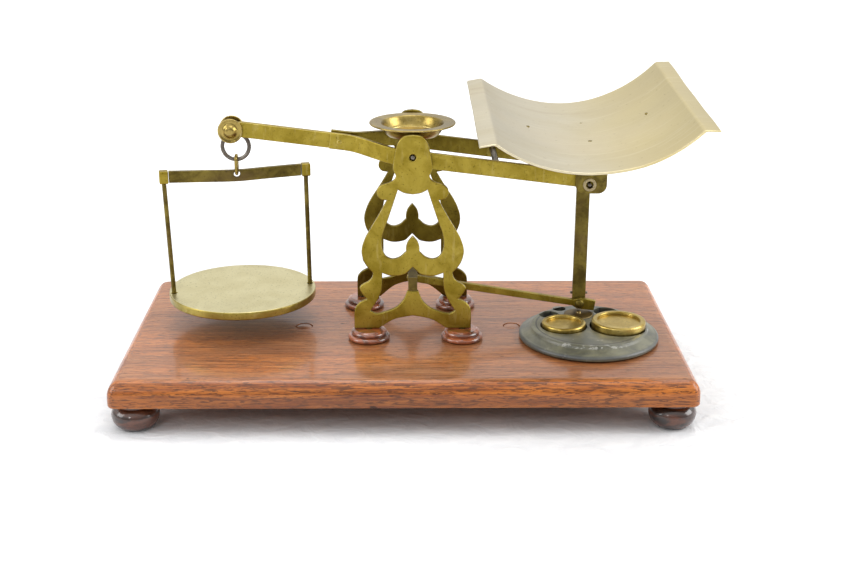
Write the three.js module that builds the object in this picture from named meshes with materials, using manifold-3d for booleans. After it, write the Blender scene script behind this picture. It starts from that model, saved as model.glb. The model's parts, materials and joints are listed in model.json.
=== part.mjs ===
// A letter scale: a Roberval balance of brass on a mahogany board, with a hanging load plate at the left,
// a curved letter tray at the right, a loose dish over the middle and a turned block of brass weights.
// Millimetres, +Z up. The origin is on the floor under the middle of the board, and +X runs to the tray.
import * as THREE from 'three';
import { mergeVertices } from 'three/addons/utils/BufferGeometryUtils.js';
import Module from 'manifold-3d';

// Driving dimensions.
const GAP = 0.3; // between neighbouring pieces
const BOARD = { length: 330, width: 178, bottom: 16, top: 31.2, corner: 5 };
const FEET = { x: 151.7, y: 75, radius: 13.5 };
const FRAME_X = 4.9; // middle of the two brass frames
const MID_Y = 7; // the plane that the beam swings in
const FRAME_Y = 28; // each frame plate, before and behind the middle plane
const PLATE = 3;
const PILLAR = { radius: 12.4, height: 6.8 };
// The pillars were set by eye, so each stands a little differently from the frames' middle.
const PILLAR_X = { front_left: -26, front_right: 29.4, rear_left: -30.2, rear_right: 27.2 };
const FRAME_BOTTOM = BOARD.top + PILLAR.height;
const FULCRUM_Z = 142;
const TILT = THREE.MathUtils.degToRad(7.1); // the beam at rest, tray end down
const TRAY_PIVOT = { x: 101.9, z: -16.5 }; // from the fulcrum
const KNOB = { x: -106.6, z: 9.5 }; // from the fulcrum
const STAY_DROP = 81.2; // fulcrum to check link pivot, and tray pivot to stay foot
const SIDE_BAR_Y = 23.6;
const PIN_R = 1.25;
const HANG_Y = 3.9; // the shackle hangs behind the arm
const PAN_TURN = THREE.MathUtils.degToRad(12.5); // the pan hangs twisted on its hook
const TRAY_PITCH = THREE.MathUtils.degToRad(2);

// Finishes.
const finish = (color, roughness, metalness) => new THREE.MeshStandardMaterial({ color, roughness, metalness });
const MAHOGANY = finish(0xa5603c, 0.35, 0);
const DARK_WOOD = finish(0x3a1a10, 0.2, 0);
const EBONISED = finish(0x4a5048, 0.35, 0);
const BRASS = finish(0xa58c3c, 0.35, 1);
const OLD_BRASS = finish(0x6e5f23, 0.4, 1);
const PALE_BRASS = finish(0xe1d7b4, 0.3, 1);
const STEEL = finish(0x6b6358, 0.4, 1);

// Solids are joined and cut with manifold-3d.
const wasm = await Module();
wasm.setup();

function toSolid(geometry) {
  const bare = geometry.clone();
  bare.deleteAttribute('normal');
  bare.deleteAttribute('uv');
  const merged = mergeVertices(bare, 1e-4);
  const mesh = new wasm.Mesh({
    numProp: 3,
    vertProperties: Float32Array.from(merged.attributes.position.array),
    triVerts: Uint32Array.from(merged.index.array),
  });
  return new wasm.Manifold(mesh);
}

function toGeometry(solid) {
  const mesh = solid.getMesh();
  const geometry = new THREE.BufferGeometry();
  geometry.setAttribute('position', new THREE.BufferAttribute(mesh.vertProperties, 3));
  geometry.setIndex(new THREE.BufferAttribute(mesh.triVerts, 1));
  geometry.computeVertexNormals();
  return geometry;
}

function combine(operation, first, others) {
  return toGeometry(others.reduce((solid, tool) => solid[operation](toSolid(tool)), toSolid(first)));
}

const join = (first, ...others) => combine('add', first, others);
const cut = (first, ...tools) => combine('subtract', first, tools);
const common = (first, ...others) => combine('intersect', first, others);

// Shape helpers. An upright shape is drawn in X and Z and has its thickness in Y.
const at = (geometry, x, y, z) => geometry.translate(x, y, z);
const box = (x, y, z) => new THREE.BoxGeometry(x, y, z);
const pinAlongY = (radius, length, sides = 12) => new THREE.CylinderGeometry(radius, radius, length, sides);
const pinAlongZ = (radius, length, sides = 12) => pinAlongY(radius, length, sides).rotateX(Math.PI / 2);
const vectors = (pairs) => pairs.map(([x, y]) => new THREE.Vector2(x, y));
const turned = (profile, sides = 20) => new THREE.LatheGeometry(vectors(profile), sides).rotateX(Math.PI / 2);

function upright(shape, thickness, curveSegments = 6) {
  const geometry = new THREE.ExtrudeGeometry(shape, { depth: thickness, bevelEnabled: false, curveSegments });
  return geometry.rotateX(Math.PI / 2).translate(0, thickness / 2, 0);
}

function rectangle(left, right, bottom, top) {
  return new THREE.Shape(vectors([[left, bottom], [right, bottom], [right, top], [left, top]]));
}

function bent(path, section, steps) {
  return new THREE.ExtrudeGeometry(section, { steps, bevelEnabled: false, extrudePath: path });
}

function wireSection(radius, sides = 8) {
  const points = [];
  for (let i = 0; i < sides; i += 1) {
    const angle = (2 * Math.PI * i) / sides;
    points.push(new THREE.Vector2(radius * Math.cos(angle), radius * Math.sin(angle)));
  }
  return new THREE.Shape(points);
}

function rod(from, to, radius) {
  const along = new THREE.Vector3().subVectors(to, from);
  const turn = new THREE.Quaternion().setFromUnitVectors(new THREE.Vector3(0, 1, 0), along.clone().normalize());
  const geometry = pinAlongY(radius, along.length(), 12).applyQuaternion(turn);
  return geometry.translate((from.x + to.x) / 2, (from.y + to.y) / 2, (from.z + to.z) / 2);
}

const scale = new THREE.Group();

function place(parent, name, geometry, material, x = 0, y = 0, z = 0) {
  const mesh = new THREE.Mesh(geometry, material);
  mesh.name = name;
  mesh.position.set(x, y, z);
  parent.add(mesh);
  return mesh;
}

function groupAt(parent, x, y, z) {
  const group = new THREE.Group();
  group.position.set(x, y, z);
  parent.add(group);
  return group;
}

// The board is a stack of rounded rectangles that step in with the moulding: [inset, height].
function roundedRectangle(inset) {
  const x = BOARD.length / 2 - inset;
  const y = BOARD.width / 2 - inset;
  const r = Math.max(BOARD.corner - inset * 0.5, 1.5);
  const shape = new THREE.Shape();
  shape.absarc(x - r, y - r, r, 0, Math.PI / 2);
  shape.absarc(r - x, y - r, r, Math.PI / 2, Math.PI);
  shape.absarc(r - x, r - y, r, Math.PI, 1.5 * Math.PI);
  shape.absarc(x - r, r - y, r, 1.5 * Math.PI, 2 * Math.PI);
  return shape.getPoints(4).slice(0, -1);
}

function stacked(profile, outlineAt) {
  const rings = profile.map(([inset, z]) => outlineAt(inset).map((p) => [p.x, p.y, z]));
  const count = rings[0].length;
  const index = [];
  for (let level = 0; level < rings.length - 1; level += 1) {
    for (let i = 0; i < count; i += 1) {
      const a = level * count + i;
      const b = level * count + ((i + 1) % count);
      index.push(a, b, a + count, b, b + count, a + count);
    }
  }
  const cap = THREE.ShapeUtils.triangulateShape(outlineAt(0), []);
  const last = (rings.length - 1) * count;
  cap.forEach(([a, b, c]) => index.push(a, c, b, last + a, last + b, last + c));
  const geometry = new THREE.BufferGeometry();
  geometry.setAttribute('position', new THREE.Float32BufferAttribute(rings.flat(2), 3));
  geometry.setIndex(index);
  return geometry;
}

const PLUGS = [{ side: 'left', x: -61.1 }, { side: 'right', x: 65.3 }];
const PLUG = { y: -1, radius: 4.7, depth: 3 };

function boardProfile() {
  const profile = [[1, BOARD.bottom], [0, BOARD.bottom + 1], [0, BOARD.bottom + 6.4], [1.4, BOARD.bottom + 7]];
  const round = { inset: 1.4, rise: BOARD.top - BOARD.bottom - 7, run: 6.6 };
  for (let i = 1; i <= 5; i += 1) {
    const angle = (i / 5) * (Math.PI / 2);
    profile.push([
      round.inset + round.run * (1 - Math.cos(angle)),
      BOARD.bottom + 7 + round.rise * Math.sin(angle),
    ]);
  }
  return profile;
}

function eachCorner(visit) {
  for (const [row, y] of [['front', -1], ['rear', 1]]) {
    for (const [side, x] of [['left', -1], ['right', 1]]) {
      visit(`${row}_${side}`, x, y);
    }
  }
}

function buildBoard() {
  const holes = PLUGS.map((plug) => at(pinAlongZ(PLUG.radius + GAP, 2 * PLUG.depth), plug.x, PLUG.y, BOARD.top));
  eachCorner((name, x, y) => {
    const bore = pinAlongZ(2 + GAP, 60);
    holes.push(at(bore, FRAME_X + PILLAR_X[name], MID_Y + y * FRAME_Y, BOARD.top));
    const nutPocket = pinAlongZ(4.6 + GAP, 9);
    holes.push(at(nutPocket, FRAME_X + PILLAR_X[name], MID_Y + y * FRAME_Y, BOARD.bottom));
  });
  place(scale, 'base_board', cut(stacked(boardProfile(), roundedRectangle), ...holes), MAHOGANY);
  for (const plug of PLUGS) {
    const disc = turned([[0, -PLUG.depth + GAP], [PLUG.radius, -PLUG.depth + GAP], [PLUG.radius, 0], [0, 0]]);
    place(scale, `screw_plug_${plug.side}`, disc, MAHOGANY, plug.x, PLUG.y, BOARD.top);
  }
}

function buildBunFeet() {
  const top = BOARD.bottom - GAP;
  const profile = [
    [0, 0], [7.5, 0], [10.6, 1.6], [12.8, 4.4], [FEET.radius, 7.6], [12.9, 10.6], [11, 13],
    [9.6, 14], [9.6, top], [0, top],
  ];
  eachCorner((name, x, y) => {
    place(scale, `bun_foot_${name}`, turned(profile), DARK_WOOD, x * FEET.x, y * FEET.y, 0);
  });
}

// Each frame stands on two turned pillars, and a stud runs down through each to a nut under the board.
function buildPillars() {
  const low = GAP;
  const high = PILLAR.height - GAP;
  const bore = 2 + GAP;
  const pillar = [
    [bore, low], [PILLAR.radius - 0.6, low], [PILLAR.radius, 1.4], [PILLAR.radius - 0.7, 2.7], [9.3, 3.3],
    [8.7, 4.2], [9.4, 5.2], [8.6, high], [bore, high], [bore, low],
  ];
  const studTop = PILLAR.height - GAP - BOARD.top;
  const stud = [
    [0, 1 - BOARD.top + BOARD.bottom], [4.2, 1 - BOARD.top + BOARD.bottom], [4.2, 4 - BOARD.top + BOARD.bottom],
    [2, 4 - BOARD.top + BOARD.bottom], [2, studTop + BOARD.top], [0, studTop + BOARD.top],
  ];
  eachCorner((name, x, y) => {
    const px = FRAME_X + PILLAR_X[name];
    const py = MID_Y + y * FRAME_Y;
    place(scale, `pillar_foot_${name}`, turned(pillar), DARK_WOOD, px, py, BOARD.top);
    place(scale, `frame_stud_${name}`, turned(stud, 12), OLD_BRASS, px, py, BOARD.top);
  });
}

// The lyre frames. Each outline is half a shape, as smooth stretches from the middle line and back to it,
// given as [half width, height over the floor], and mirrored.
function halfLine(stretches) {
  const points = [];
  for (const knots of stretches) {
    const steps = knots.length > 2 ? 2 * (knots.length - 1) : 1;
    const smooth = new THREE.SplineCurve(vectors(knots)).getPoints(steps);
    points.push(...(points.length ? smooth.slice(1) : smooth));
  }
  return points;
}

function symmetric(stretches) {
  const right = halfLine(stretches);
  const left = right.slice(1, -1).reverse().map((p) => new THREE.Vector2(-p.x, p.y));
  return right.concat(left);
}

const LYRE_OUTLINE = [
  [[0, 46], [11, 43.6], [20, FRAME_BOTTOM]],
  [[20, FRAME_BOTTOM], [34.6, FRAME_BOTTOM]],
  [[34.6, FRAME_BOTTOM], [34.6, 46.6]],
  [[34.6, 46.6], [34, 50.6], [31.4, 54], [27, 56.4]],
  [[27, 56.4], [29.4, 59.2], [31.2, 62.6], [30, 65], [26.2, 67.2], [24, 69.6], [23.4, 72.8]],
  [[23.4, 72.8], [27.9, 78.3], [29.9, 85.6], [28.3, 92.5], [25, 99], [19.6, 108.2], [15, 116.8]],
  [[15, 116.8], [18.6, 117.6], [20.6, 120.4], [20.2, 123.7], [18, 125.8], [13.8, 127.2]],
  [
    [13.8, 127.2], [10.9, 128.8], [9.7, 131.2], [11, 134.2], [11.3, 137.2], [9.9, 145.5], [8.5, 150.4],
    [5.2, 154.1], [0, 155],
  ],
];
const UPPER_OPENING = [
  [[0, 120.3], [4.8, 121.1], [8.5, 123]],
  [
    [8.5, 123], [13.6, 107.4], [17.4, 96.4], [18.1, 90.2], [17.5, 86.2], [15.2, 82.6], [11.6, 81.2],
    [7.6, 82.4], [4.9, 84.8],
  ],
  [[4.9, 84.8], [3.9, 85.6]],
  [[3.9, 85.6], [3.9, 88.5], [2.7, 92], [0, 95.2]],
];
const LOWER_OPENING = [
  [[0, 61.5], [3.2, 61.5]],
  [[3.2, 61.5], [4.6, 57.6], [6.5, 54.4], [11, 50.4], [20.5, 47.2], [25, 49]],
  [[25, 49], [21.2, 55], [19, 60], [18, 65], [17.9, 72.6]],
  [[17.9, 72.6], [13.6, 71], [9.4, 70.8], [5, 71.7], [3.5, 72.7]],
  [[3.5, 72.7], [0, 76.3]],
];

// The rear frame was cut from the same pattern, but some of it came out higher: [height, rise].
const REAR_RISE = [
  [0, 0], [38, 0], [43, 1.5], [46, 2.6], [52, 0.8], [57, 0.5], [61.5, 0], [70, 3.2], [82, 3.1], [98, 3.8],
  [FULCRUM_Z, 0], [155, 2.8], [200, 2.8],
];

function risen({ x, y }) {
  const above = REAR_RISE.findIndex(([height]) => height > y);
  const [low, lowRise] = REAR_RISE[above - 1];
  const [high, highRise] = REAR_RISE[above];
  return new THREE.Vector2(x, y + THREE.MathUtils.mapLinear(y, low, high, lowRise, highRise));
}

function lyre(shift) {
  const plate = new THREE.Shape(symmetric(LYRE_OUTLINE).map(shift));
  for (const opening of [UPPER_OPENING, LOWER_OPENING]) {
    plate.holes.push(new THREE.Path(symmetric(opening).map(shift)));
  }
  const pivotHole = new THREE.Path();
  pivotHole.absarc(0, FULCRUM_Z, 1.9, 0, 2 * Math.PI);
  plate.holes.push(pivotHole);
  return upright(plate, PLATE);
}

function buildFrames() {
  place(scale, 'front_frame', lyre((point) => point), BRASS, FRAME_X, MID_Y - FRAME_Y, 0);
  place(scale, 'rear_frame', lyre(risen), BRASS, FRAME_X, MID_Y + FRAME_Y, 0);
}

// The stretcher lies across the two frames and carries the check link's pivot on a lug in its middle.
const LINK_PIVOT_Z = FULCRUM_Z - STAY_DROP;
const LINK_LAYER = { y: -3.3, thickness: 3 };

function buildStretcher() {
  const bar = { width: 5.3, bottom: 65, top: 70, tabBottom: 61.5 + GAP };
  const span = 2 * FRAME_Y + PLATE + 0.6;
  let body = at(box(bar.width, span, bar.top - bar.bottom), 0, 0, (bar.top + bar.bottom) / 2);
  const tabHeight = bar.top - bar.tabBottom;
  const tabs = [-1, 1].map((side) => {
    const tab = box(bar.width, PLATE + 0.6, tabHeight);
    return at(tab, 0, side * FRAME_Y, bar.tabBottom + tabHeight / 2);
  });
  const lug = join(at(box(6.8, 3, 6), 0, 0, 63), at(pinAlongY(3.4, 3), 0, 0, LINK_PIVOT_Z));
  body = join(body, ...tabs, lug);
  const holes = [at(pinAlongY(1.2 + GAP, 8), 0, 0, LINK_PIVOT_Z), at(pinAlongY(0.7, 200, 8), 0.6, 0, 64.2)];
  place(scale, 'stretcher', cut(body, ...holes), OLD_BRASS, FRAME_X, MID_Y, 0);

  const head = LINK_LAYER.y - LINK_LAYER.thickness / 2 - GAP;
  const screw = [[0, head - 1.6], [1.8, head - 1.4], [2.6, head], [1.2, head], [1.2, 1.4], [0, 1.4]];
  place(scale, 'link_pivot_screw', turned(screw, 16).rotateX(-Math.PI / 2), STEEL, FRAME_X, MID_Y, LINK_PIVOT_Z);
}

// A plain bar between the heads of the frames, and the loose brass dish that rests on it.
const BRIDGE_TOP = 148.4;

function buildDishAndBridge() {
  const span = 2 * FRAME_Y - PLATE - 2 * GAP;
  place(scale, 'dish_bridge', box(12, span, 2.4), OLD_BRASS, FRAME_X, MID_Y, BRIDGE_TOP - 1.2);
  const dish = [
    [0, 0], [13.6, 0], [16.6, 1.3], [18.6, 5.2], [24.7, 6.4], [25.4, 7.1], [24.7, 7.9], [18.6, 7.7], [17.4, 6.4],
    [15.6, 2.6], [13, 1.5], [0, 1.3],
  ];
  place(scale, 'centre_dish', turned(dish, 32), PALE_BRASS, FRAME_X, MID_Y, BRIDGE_TOP + GAP);
}

// The beam is built level around the fulcrum and then turned to its rest tilt.
const beam = groupAt(scale, FRAME_X, MID_Y, FULCRUM_Z);
beam.rotation.y = TILT;

function onBeam({ x, z }) {
  return { x: x * Math.cos(TILT) - z * Math.sin(TILT), z: x * Math.sin(TILT) + z * Math.cos(TILT) };
}

const BAR = { z: -1.8, height: 9.4, thickness: 3, left: -48.6, splayStart: -35.6, splayEnd: -10.3 };
const ARM = { z: -2.5, height: 8.9, thickness: 4.4, right: -37 };
const INNER_Y = ARM.thickness / 2 + GAP + BAR.thickness / 2;
const RIVET_X = -43;
const CROSS_ROD_X = 49.5;

// A strip of even thickness along a plan line, with mitred bends.
function strip(line, thickness) {
  const points = vectors(line);
  const edge = (side) => points.map((point, i) => {
    const before = points[Math.max(i - 1, 0)];
    const after = points[Math.min(i + 1, points.length - 1)];
    const into = (i ? point.clone().sub(before) : after.clone().sub(point)).normalize();
    const out = (i < points.length - 1 ? after.clone().sub(point) : into.clone()).normalize();
    const middle = into.clone().add(out).normalize();
    const reach = (side * thickness) / 2 / middle.dot(into);
    return new THREE.Vector2(point.x - middle.y * reach, point.y + middle.x * reach);
  });
  return new THREE.Shape(edge(-1).concat(edge(1).reverse()));
}

function sideBar(side) {
  const inner = side * INNER_Y;
  const outer = side * SIDE_BAR_Y;
  const end = onBeam(TRAY_PIVOT);
  const line = [
    [BAR.left, inner], [BAR.splayStart, inner], [BAR.splayStart + 4, inner + side * 1.6],
    [BAR.splayEnd - 4, outer - side * 1.6], [BAR.splayEnd, outer], [end.x + 4.6, outer],
  ];
  const blank = new THREE.ExtrudeGeometry(strip(line, BAR.thickness), { depth: BAR.height, bevelEnabled: false });
  blank.translate(0, 0, BAR.z - BAR.height / 2);
  return cut(
    blank,
    at(pinAlongY(PIN_R + GAP, 8), 0, outer, 0),
    at(pinAlongY(PIN_R + GAP, 8), end.x, outer, end.z),
    at(pinAlongY(1.9 + GAP, 8), CROSS_ROD_X, outer, BAR.z),
    at(pinAlongY(1.5 + GAP, 8), RIVET_X, inner, BAR.z),
  );
}

function buildBeam() {
  place(beam, 'front_side_bar', sideBar(-1), BRASS);
  place(beam, 'rear_side_bar', sideBar(1), BRASS);

  const knob = onBeam(KNOB);
  const arm = upright(rectangle(knob.x, ARM.right, ARM.z - ARM.height / 2, ARM.z + ARM.height / 2), ARM.thickness);
  const boss = at(pinAlongY(5.7, ARM.thickness, 20), knob.x, 0, knob.z);
  const knobHole = at(pinAlongY(1.5 + GAP, 8), knob.x, 0, knob.z);
  const rivetHole = at(pinAlongY(1.5 + GAP, 8), RIVET_X, 0, BAR.z);
  place(beam, 'beam_arm', cut(join(arm, boss), knobHole, rivetHole), BRASS);
  const rivetLength = 2 * (INNER_Y + BAR.thickness / 2);
  place(beam, 'fork_rivet', pinAlongY(1.5, rivetLength), BRASS, RIVET_X, 0, BAR.z);
  const rodLength = 2 * SIDE_BAR_Y + BAR.thickness;
  place(beam, 'cross_rod', pinAlongY(1.9, rodLength, 16), STEEL, CROSS_ROD_X, 0, BAR.z);
  place(beam, 'fulcrum_arbor', pinAlongY(PIN_R, 2 * FRAME_Y + PLATE - 0.4), STEEL);
  const end = onBeam(TRAY_PIVOT);
  for (const [name, side] of [['front', -1], ['rear', 1]]) {
    place(beam, `tray_pivot_pin_${name}`, pinAlongY(PIN_R, 6.2), STEEL, end.x, side * (SIDE_BAR_Y + 1.3), end.z);
  }

  const cap = [[0, 0], [7, 0], [7.3, 0.5], [7.2, 1.4], [6.5, 1.1], [4.6, 1.2], [2.9, 2.7], [1.6, 3.2], [0, 3.3]];
  const face = ARM.thickness / 2 + GAP;
  place(beam, 'knob_cap', turned(cap, 24).rotateX(Math.PI / 2), BRASS, knob.x, -face, knob.z);
  const rear = HANG_Y + 1.6;
  const shank = -ARM.thickness / 2;
  const stud = [[0, shank], [1.5, shank], [1.5, rear], ...cap.slice(1).map(([r, y]) => [r, rear + y])];
  place(beam, 'knob_stud', turned(stud, 24).rotateX(-Math.PI / 2), BRASS, knob.x, 0, knob.z);
}

// The shackle is one wire: a small eye on the knob's stud, and under it an open ring that carries the pan.
const hanging = groupAt(scale, FRAME_X + KNOB.x, MID_Y + HANG_Y, FULCRUM_Z + KNOB.z);
const RING = { x: 2.1, z: -10.75, radius: 7.95, wire: 1.2, eye: 3.02 };
const LINK_WIRE = 0.95;
const LINK_TOP = RING.z - RING.radius + RING.wire + GAP + LINK_WIRE;
const LINK_DROP = 11.1;

function buildShackle() {
  const toEye = Math.atan2(-RING.z, -RING.x);
  const points = [];
  const ringStart = THREE.MathUtils.degToRad(54);
  const ringTurn = ringStart + 2 * Math.PI - toEye;
  for (let i = 0; i <= 18; i += 1) {
    const angle = ringStart - (i / 18) * ringTurn;
    points.push([RING.x + RING.radius * Math.cos(angle), RING.z + RING.radius * Math.sin(angle)]);
  }
  for (let i = 1; i <= 8; i += 1) {
    const angle = toEye + Math.PI + (i / 8) * 1.45 * Math.PI;
    points.push([RING.eye * Math.cos(angle), RING.eye * Math.sin(angle)]);
  }
  const path = new THREE.CatmullRomCurve3(points.map(([x, z]) => new THREE.Vector3(x, 0, z)));
  place(hanging, 'shackle', bent(path, wireSection(RING.wire), 40), STEEL);

  const halfWidth = 2.9;
  const link = new THREE.TorusGeometry(halfWidth, LINK_WIRE, 8, 16).rotateY(Math.PI / 2).rotateX(Math.PI / 2);
  const stretch = LINK_DROP / 2 - halfWidth;
  const position = link.attributes.position;
  for (let i = 0; i < position.count; i += 1) {
    position.setZ(i, position.getZ(i) + (position.getZ(i) > 1e-6 ? stretch : -stretch));
  }
  place(hanging, 'hook_link', link, BRASS, RING.x, 0, LINK_TOP - LINK_DROP / 2);
}

// The pan: a flat stirrup bar, bent a little at its hole, with two rods down through the round load plate.
const PAN = { barX: -0.9, barZ: -27, barHalf: 44.8, barHeight: 7, sag: 1.4, plateX: 0.6, plateZ: -101.9 };
const LOAD_PLATE = { radius: 44.5, half: 2.4, rodX: 41.5 };

function buildPan() {
  const pan = groupAt(hanging, RING.x, 0, 0);
  pan.rotation.z = PAN_TURN;
  const cap = { length: 5.3, depth: 5.5, height: 7.6 };
  const inner = PAN.barHalf - cap.length - GAP;
  const half = PAN.barHeight / 2;
  const bar = new THREE.Shape(vectors([
    [-inner, -half], [-PAN.barX, -half - PAN.sag], [inner, -half], [inner, half], [-PAN.barX, half - PAN.sag],
    [-inner, half],
  ]));
  const hole = at(pinAlongY(1.9, 8), -PAN.barX, 0, LINK_TOP - LINK_DROP - 0.1 - PAN.barZ);
  place(pan, 'stirrup_bar', cut(upright(bar, 3), hole), OLD_BRASS, PAN.barX, 0, PAN.barZ);
  const { radius, half: halfPlate, rodX } = LOAD_PLATE;
  const disc = [
    [0, -halfPlate], [radius - 0.9, -halfPlate], [radius, 0.8 - halfPlate], [radius, halfPlate - 0.7],
    [radius - 0.7, halfPlate], [0, halfPlate],
  ];
  const rodHoles = [-1, 1].map((side) => at(pinAlongZ(1.35 + GAP, 12), side * rodX, 0, 0));
  place(pan, 'load_plate', cut(turned(disc, 44), ...rodHoles), PALE_BRASS, PAN.plateX, 0, PAN.plateZ);
  for (const [name, side] of [['left', -1], ['right', 1]]) {
    const capX = PAN.barX + side * (PAN.barHalf - cap.length / 2);
    place(pan, `stirrup_cap_${name}`, box(cap.length, cap.depth, cap.height), BRASS, capX, 0, PAN.barZ);
    const top = new THREE.Vector3(capX, 0, PAN.barZ - cap.height / 2 - GAP);
    const foot = new THREE.Vector3(PAN.plateX + side * rodX, 0, PAN.plateZ - halfPlate + 0.1);
    place(pan, `stirrup_rod_${name}`, rod(top, foot, 1.35), OLD_BRASS);
  }
}

// The tray carrier: a strap bent down into two cheeks on the pivot pins, a flat stay down to the check link,
// and a curved strap that the letter tray is riveted to.
const carrier = groupAt(scale, FRAME_X + TRAY_PIVOT.x, MID_Y, FULCRUM_Z + TRAY_PIVOT.z);
const CHEEK = { left: -8, right: 10, bottom: -5.2, y: 26.6, thickness: 2.4, top: 21.9 };
const TRAY = { radius: 84.4, chord: 110, tilt: 4.5, thickness: 1.3, length: 154, middleY: -8.3 };
const TRAY_BOTTOM = { x: -8.5, z: 23.9 }; // lowest line of the tray's underside, from the pivot
const TRAY_STEPS = 20;
const STRAP = 1.2;
const RIVETS = { x: 35, front: -22.8, rear: 17.2, strapY: -4.4, radius: 1.5 };

function buildCarrier() {
  const reach = CHEEK.y + CHEEK.thickness / 2;
  const inside = CHEEK.y - CHEEK.thickness / 2;
  const rise = reach * Math.tan(TRAY_PITCH);
  const profile = vectors([
    [-reach, CHEEK.bottom], [-inside, CHEEK.bottom], [-inside, CHEEK.top - CHEEK.thickness - rise],
    [inside, CHEEK.top - CHEEK.thickness + rise], [inside, CHEEK.bottom], [reach, CHEEK.bottom],
    [reach, CHEEK.top + rise], [-reach, CHEEK.top - rise],
  ]);
  const width = CHEEK.right - CHEEK.left;
  const strap = new THREE.ExtrudeGeometry(new THREE.Shape(profile), { depth: width, bevelEnabled: false });
  strap.applyMatrix4(new THREE.Matrix4().makeBasis(
    new THREE.Vector3(0, 1, 0), new THREE.Vector3(0, 0, 1), new THREE.Vector3(1, 0, 0),
  )).translate(CHEEK.left, 0, 0);
  const r = 4.2;
  const side = new THREE.Shape();
  side.moveTo(CHEEK.left, 40);
  side.lineTo(CHEEK.left, CHEEK.bottom + r);
  side.absarc(CHEEK.left + r, CHEEK.bottom + r, r, Math.PI, 1.5 * Math.PI);
  side.absarc(CHEEK.right - r, CHEEK.bottom + r, r, 1.5 * Math.PI, 2 * Math.PI);
  side.lineTo(CHEEK.right, 40);
  const shaped = common(strap, upright(side, 80));
  const holes = [at(pinAlongY(2.1, 80), 0, 0, 0)];
  for (const y of [RIVETS.front, RIVETS.rear]) {
    holes.push(at(pinAlongZ(RIVETS.radius + GAP, 12), 0, y, CHEEK.top));
  }
  place(carrier, 'tray_carrier', cut(shaped, ...holes), OLD_BRASS);

  const stay = { half: 4, thickness: 3, foot: -STAY_DROP, top: CHEEK.top - CHEEK.thickness - GAP - 0.2 };
  const flat = upright(rectangle(-stay.half, stay.half, stay.foot, stay.top), stay.thickness);
  const end = at(pinAlongY(stay.half - 0.2, stay.thickness, 20), 0, 0, stay.foot);
  const rivetHole = at(pinAlongY(1.7, 8), 0, 0, stay.foot);
  const pinHole = new THREE.CylinderGeometry(0.7 + GAP, 0.7 + GAP, 20, 12).rotateZ(Math.PI / 2);
  const crossPin = { z: stay.foot + 5.6 };
  place(carrier, 'stay', cut(join(flat, end), rivetHole, at(pinHole, 0, 0, crossPin.z)), OLD_BRASS);
  const pin = new THREE.CylinderGeometry(0.7, 0.7, 10.6, 14).rotateZ(Math.PI / 2);
  place(carrier, 'stay_cross_pin', pin, STEEL, 0, 0, crossPin.z);
}

// An arc band in X and Z about the centre of the tray's curve.
function arcBand(inner, outer, from, to, steps) {
  const points = [];
  for (let i = 0; i <= steps; i += 1) {
    const angle = from + ((to - from) * i) / steps;
    points.push(new THREE.Vector2(outer * Math.cos(angle), outer * Math.sin(angle)));
  }
  for (let i = steps; i >= 0; i -= 1) {
    const angle = from + ((to - from) * i) / steps;
    points.push(new THREE.Vector2(inner * Math.cos(angle), inner * Math.sin(angle)));
  }
  return points;
}

function buildTray() {
  const tray = groupAt(carrier, TRAY_BOTTOM.x, 0, TRAY_BOTTOM.z);
  tray.rotation.x = TRAY_PITCH;
  const outer = TRAY.radius + TRAY.thickness;
  const half = Math.asin(TRAY.chord / 2 / TRAY.radius);
  const tilt = THREE.MathUtils.degToRad(TRAY.tilt);
  const from = -Math.PI / 2 + tilt - half;
  const to = -Math.PI / 2 + tilt + half;
  const sheet = arcBand(TRAY.radius, outer, from, to, TRAY_STEPS);
  const lipLine = (angle, outward, width) => {
    const direction = THREE.MathUtils.degToRad(outward);
    const step = new THREE.Vector2(Math.cos(direction), Math.sin(direction)).multiplyScalar(width);
    return [outer, TRAY.radius].map((r) => new THREE.Vector2(r * Math.cos(angle), r * Math.sin(angle)).add(step));
  };
  const [leftLow, leftHigh] = lipLine(from, 190, 8.4);
  const [rightLow, rightHigh] = lipLine(to, -1, 6.6);
  const underside = sheet.slice(0, TRAY_STEPS + 1);
  const face = sheet.slice(TRAY_STEPS + 1);
  const profile = [leftLow, ...underside, rightLow, rightHigh, ...face, leftHigh];
  const blank = upright(new THREE.Shape(profile), TRAY.length).translate(0, TRAY.middleY, outer);

  const strapOuter = outer + GAP + STRAP;
  const strapSpan = (RIVETS.x + 5) / strapOuter;
  const strapMiddle = -Math.PI / 2 - TRAY_BOTTOM.x / strapOuter;
  const strapBand = arcBand(outer + GAP, strapOuter, strapMiddle - strapSpan, strapMiddle + strapSpan, 14);
  const strapBlank = upright(new THREE.Shape(strapBand), 16).translate(0, RIVETS.strapY, outer);

  const rivet = (height) => pinAlongZ(RIVETS.radius, height);
  const hole = () => pinAlongZ(RIVETS.radius + GAP, 40);
  const trayHoles = [];
  const strapHoles = [];
  for (const [name, side] of [['left', -1], ['right', 1]]) {
    const x = -TRAY_BOTTOM.x + side * RIVETS.x;
    const floor = outer - Math.sqrt(TRAY.radius ** 2 - x ** 2);
    trayHoles.push(at(hole(), x, RIVETS.strapY, floor));
    strapHoles.push(at(hole(), x, RIVETS.strapY, floor));
    place(tray, `tray_rivet_${name}`, rivet(3.6), BRASS, x, RIVETS.strapY, floor - 1.8);
  }
  for (const name of ['front', 'rear']) {
    const y = RIVETS[name];
    const x = -TRAY_BOTTOM.x;
    trayHoles.push(at(hole(), x, y, 0));
    const floor = outer - Math.sqrt(TRAY.radius ** 2 - x ** 2);
    place(tray, `tray_rivet_${name}`, rivet(6.4), BRASS, x, y, floor - 3.2);
  }
  place(tray, 'letter_tray', cut(blank, ...trayHoles), PALE_BRASS);
  place(tray, 'tray_strap', cut(strapBlank, ...strapHoles), OLD_BRASS);
}

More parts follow.
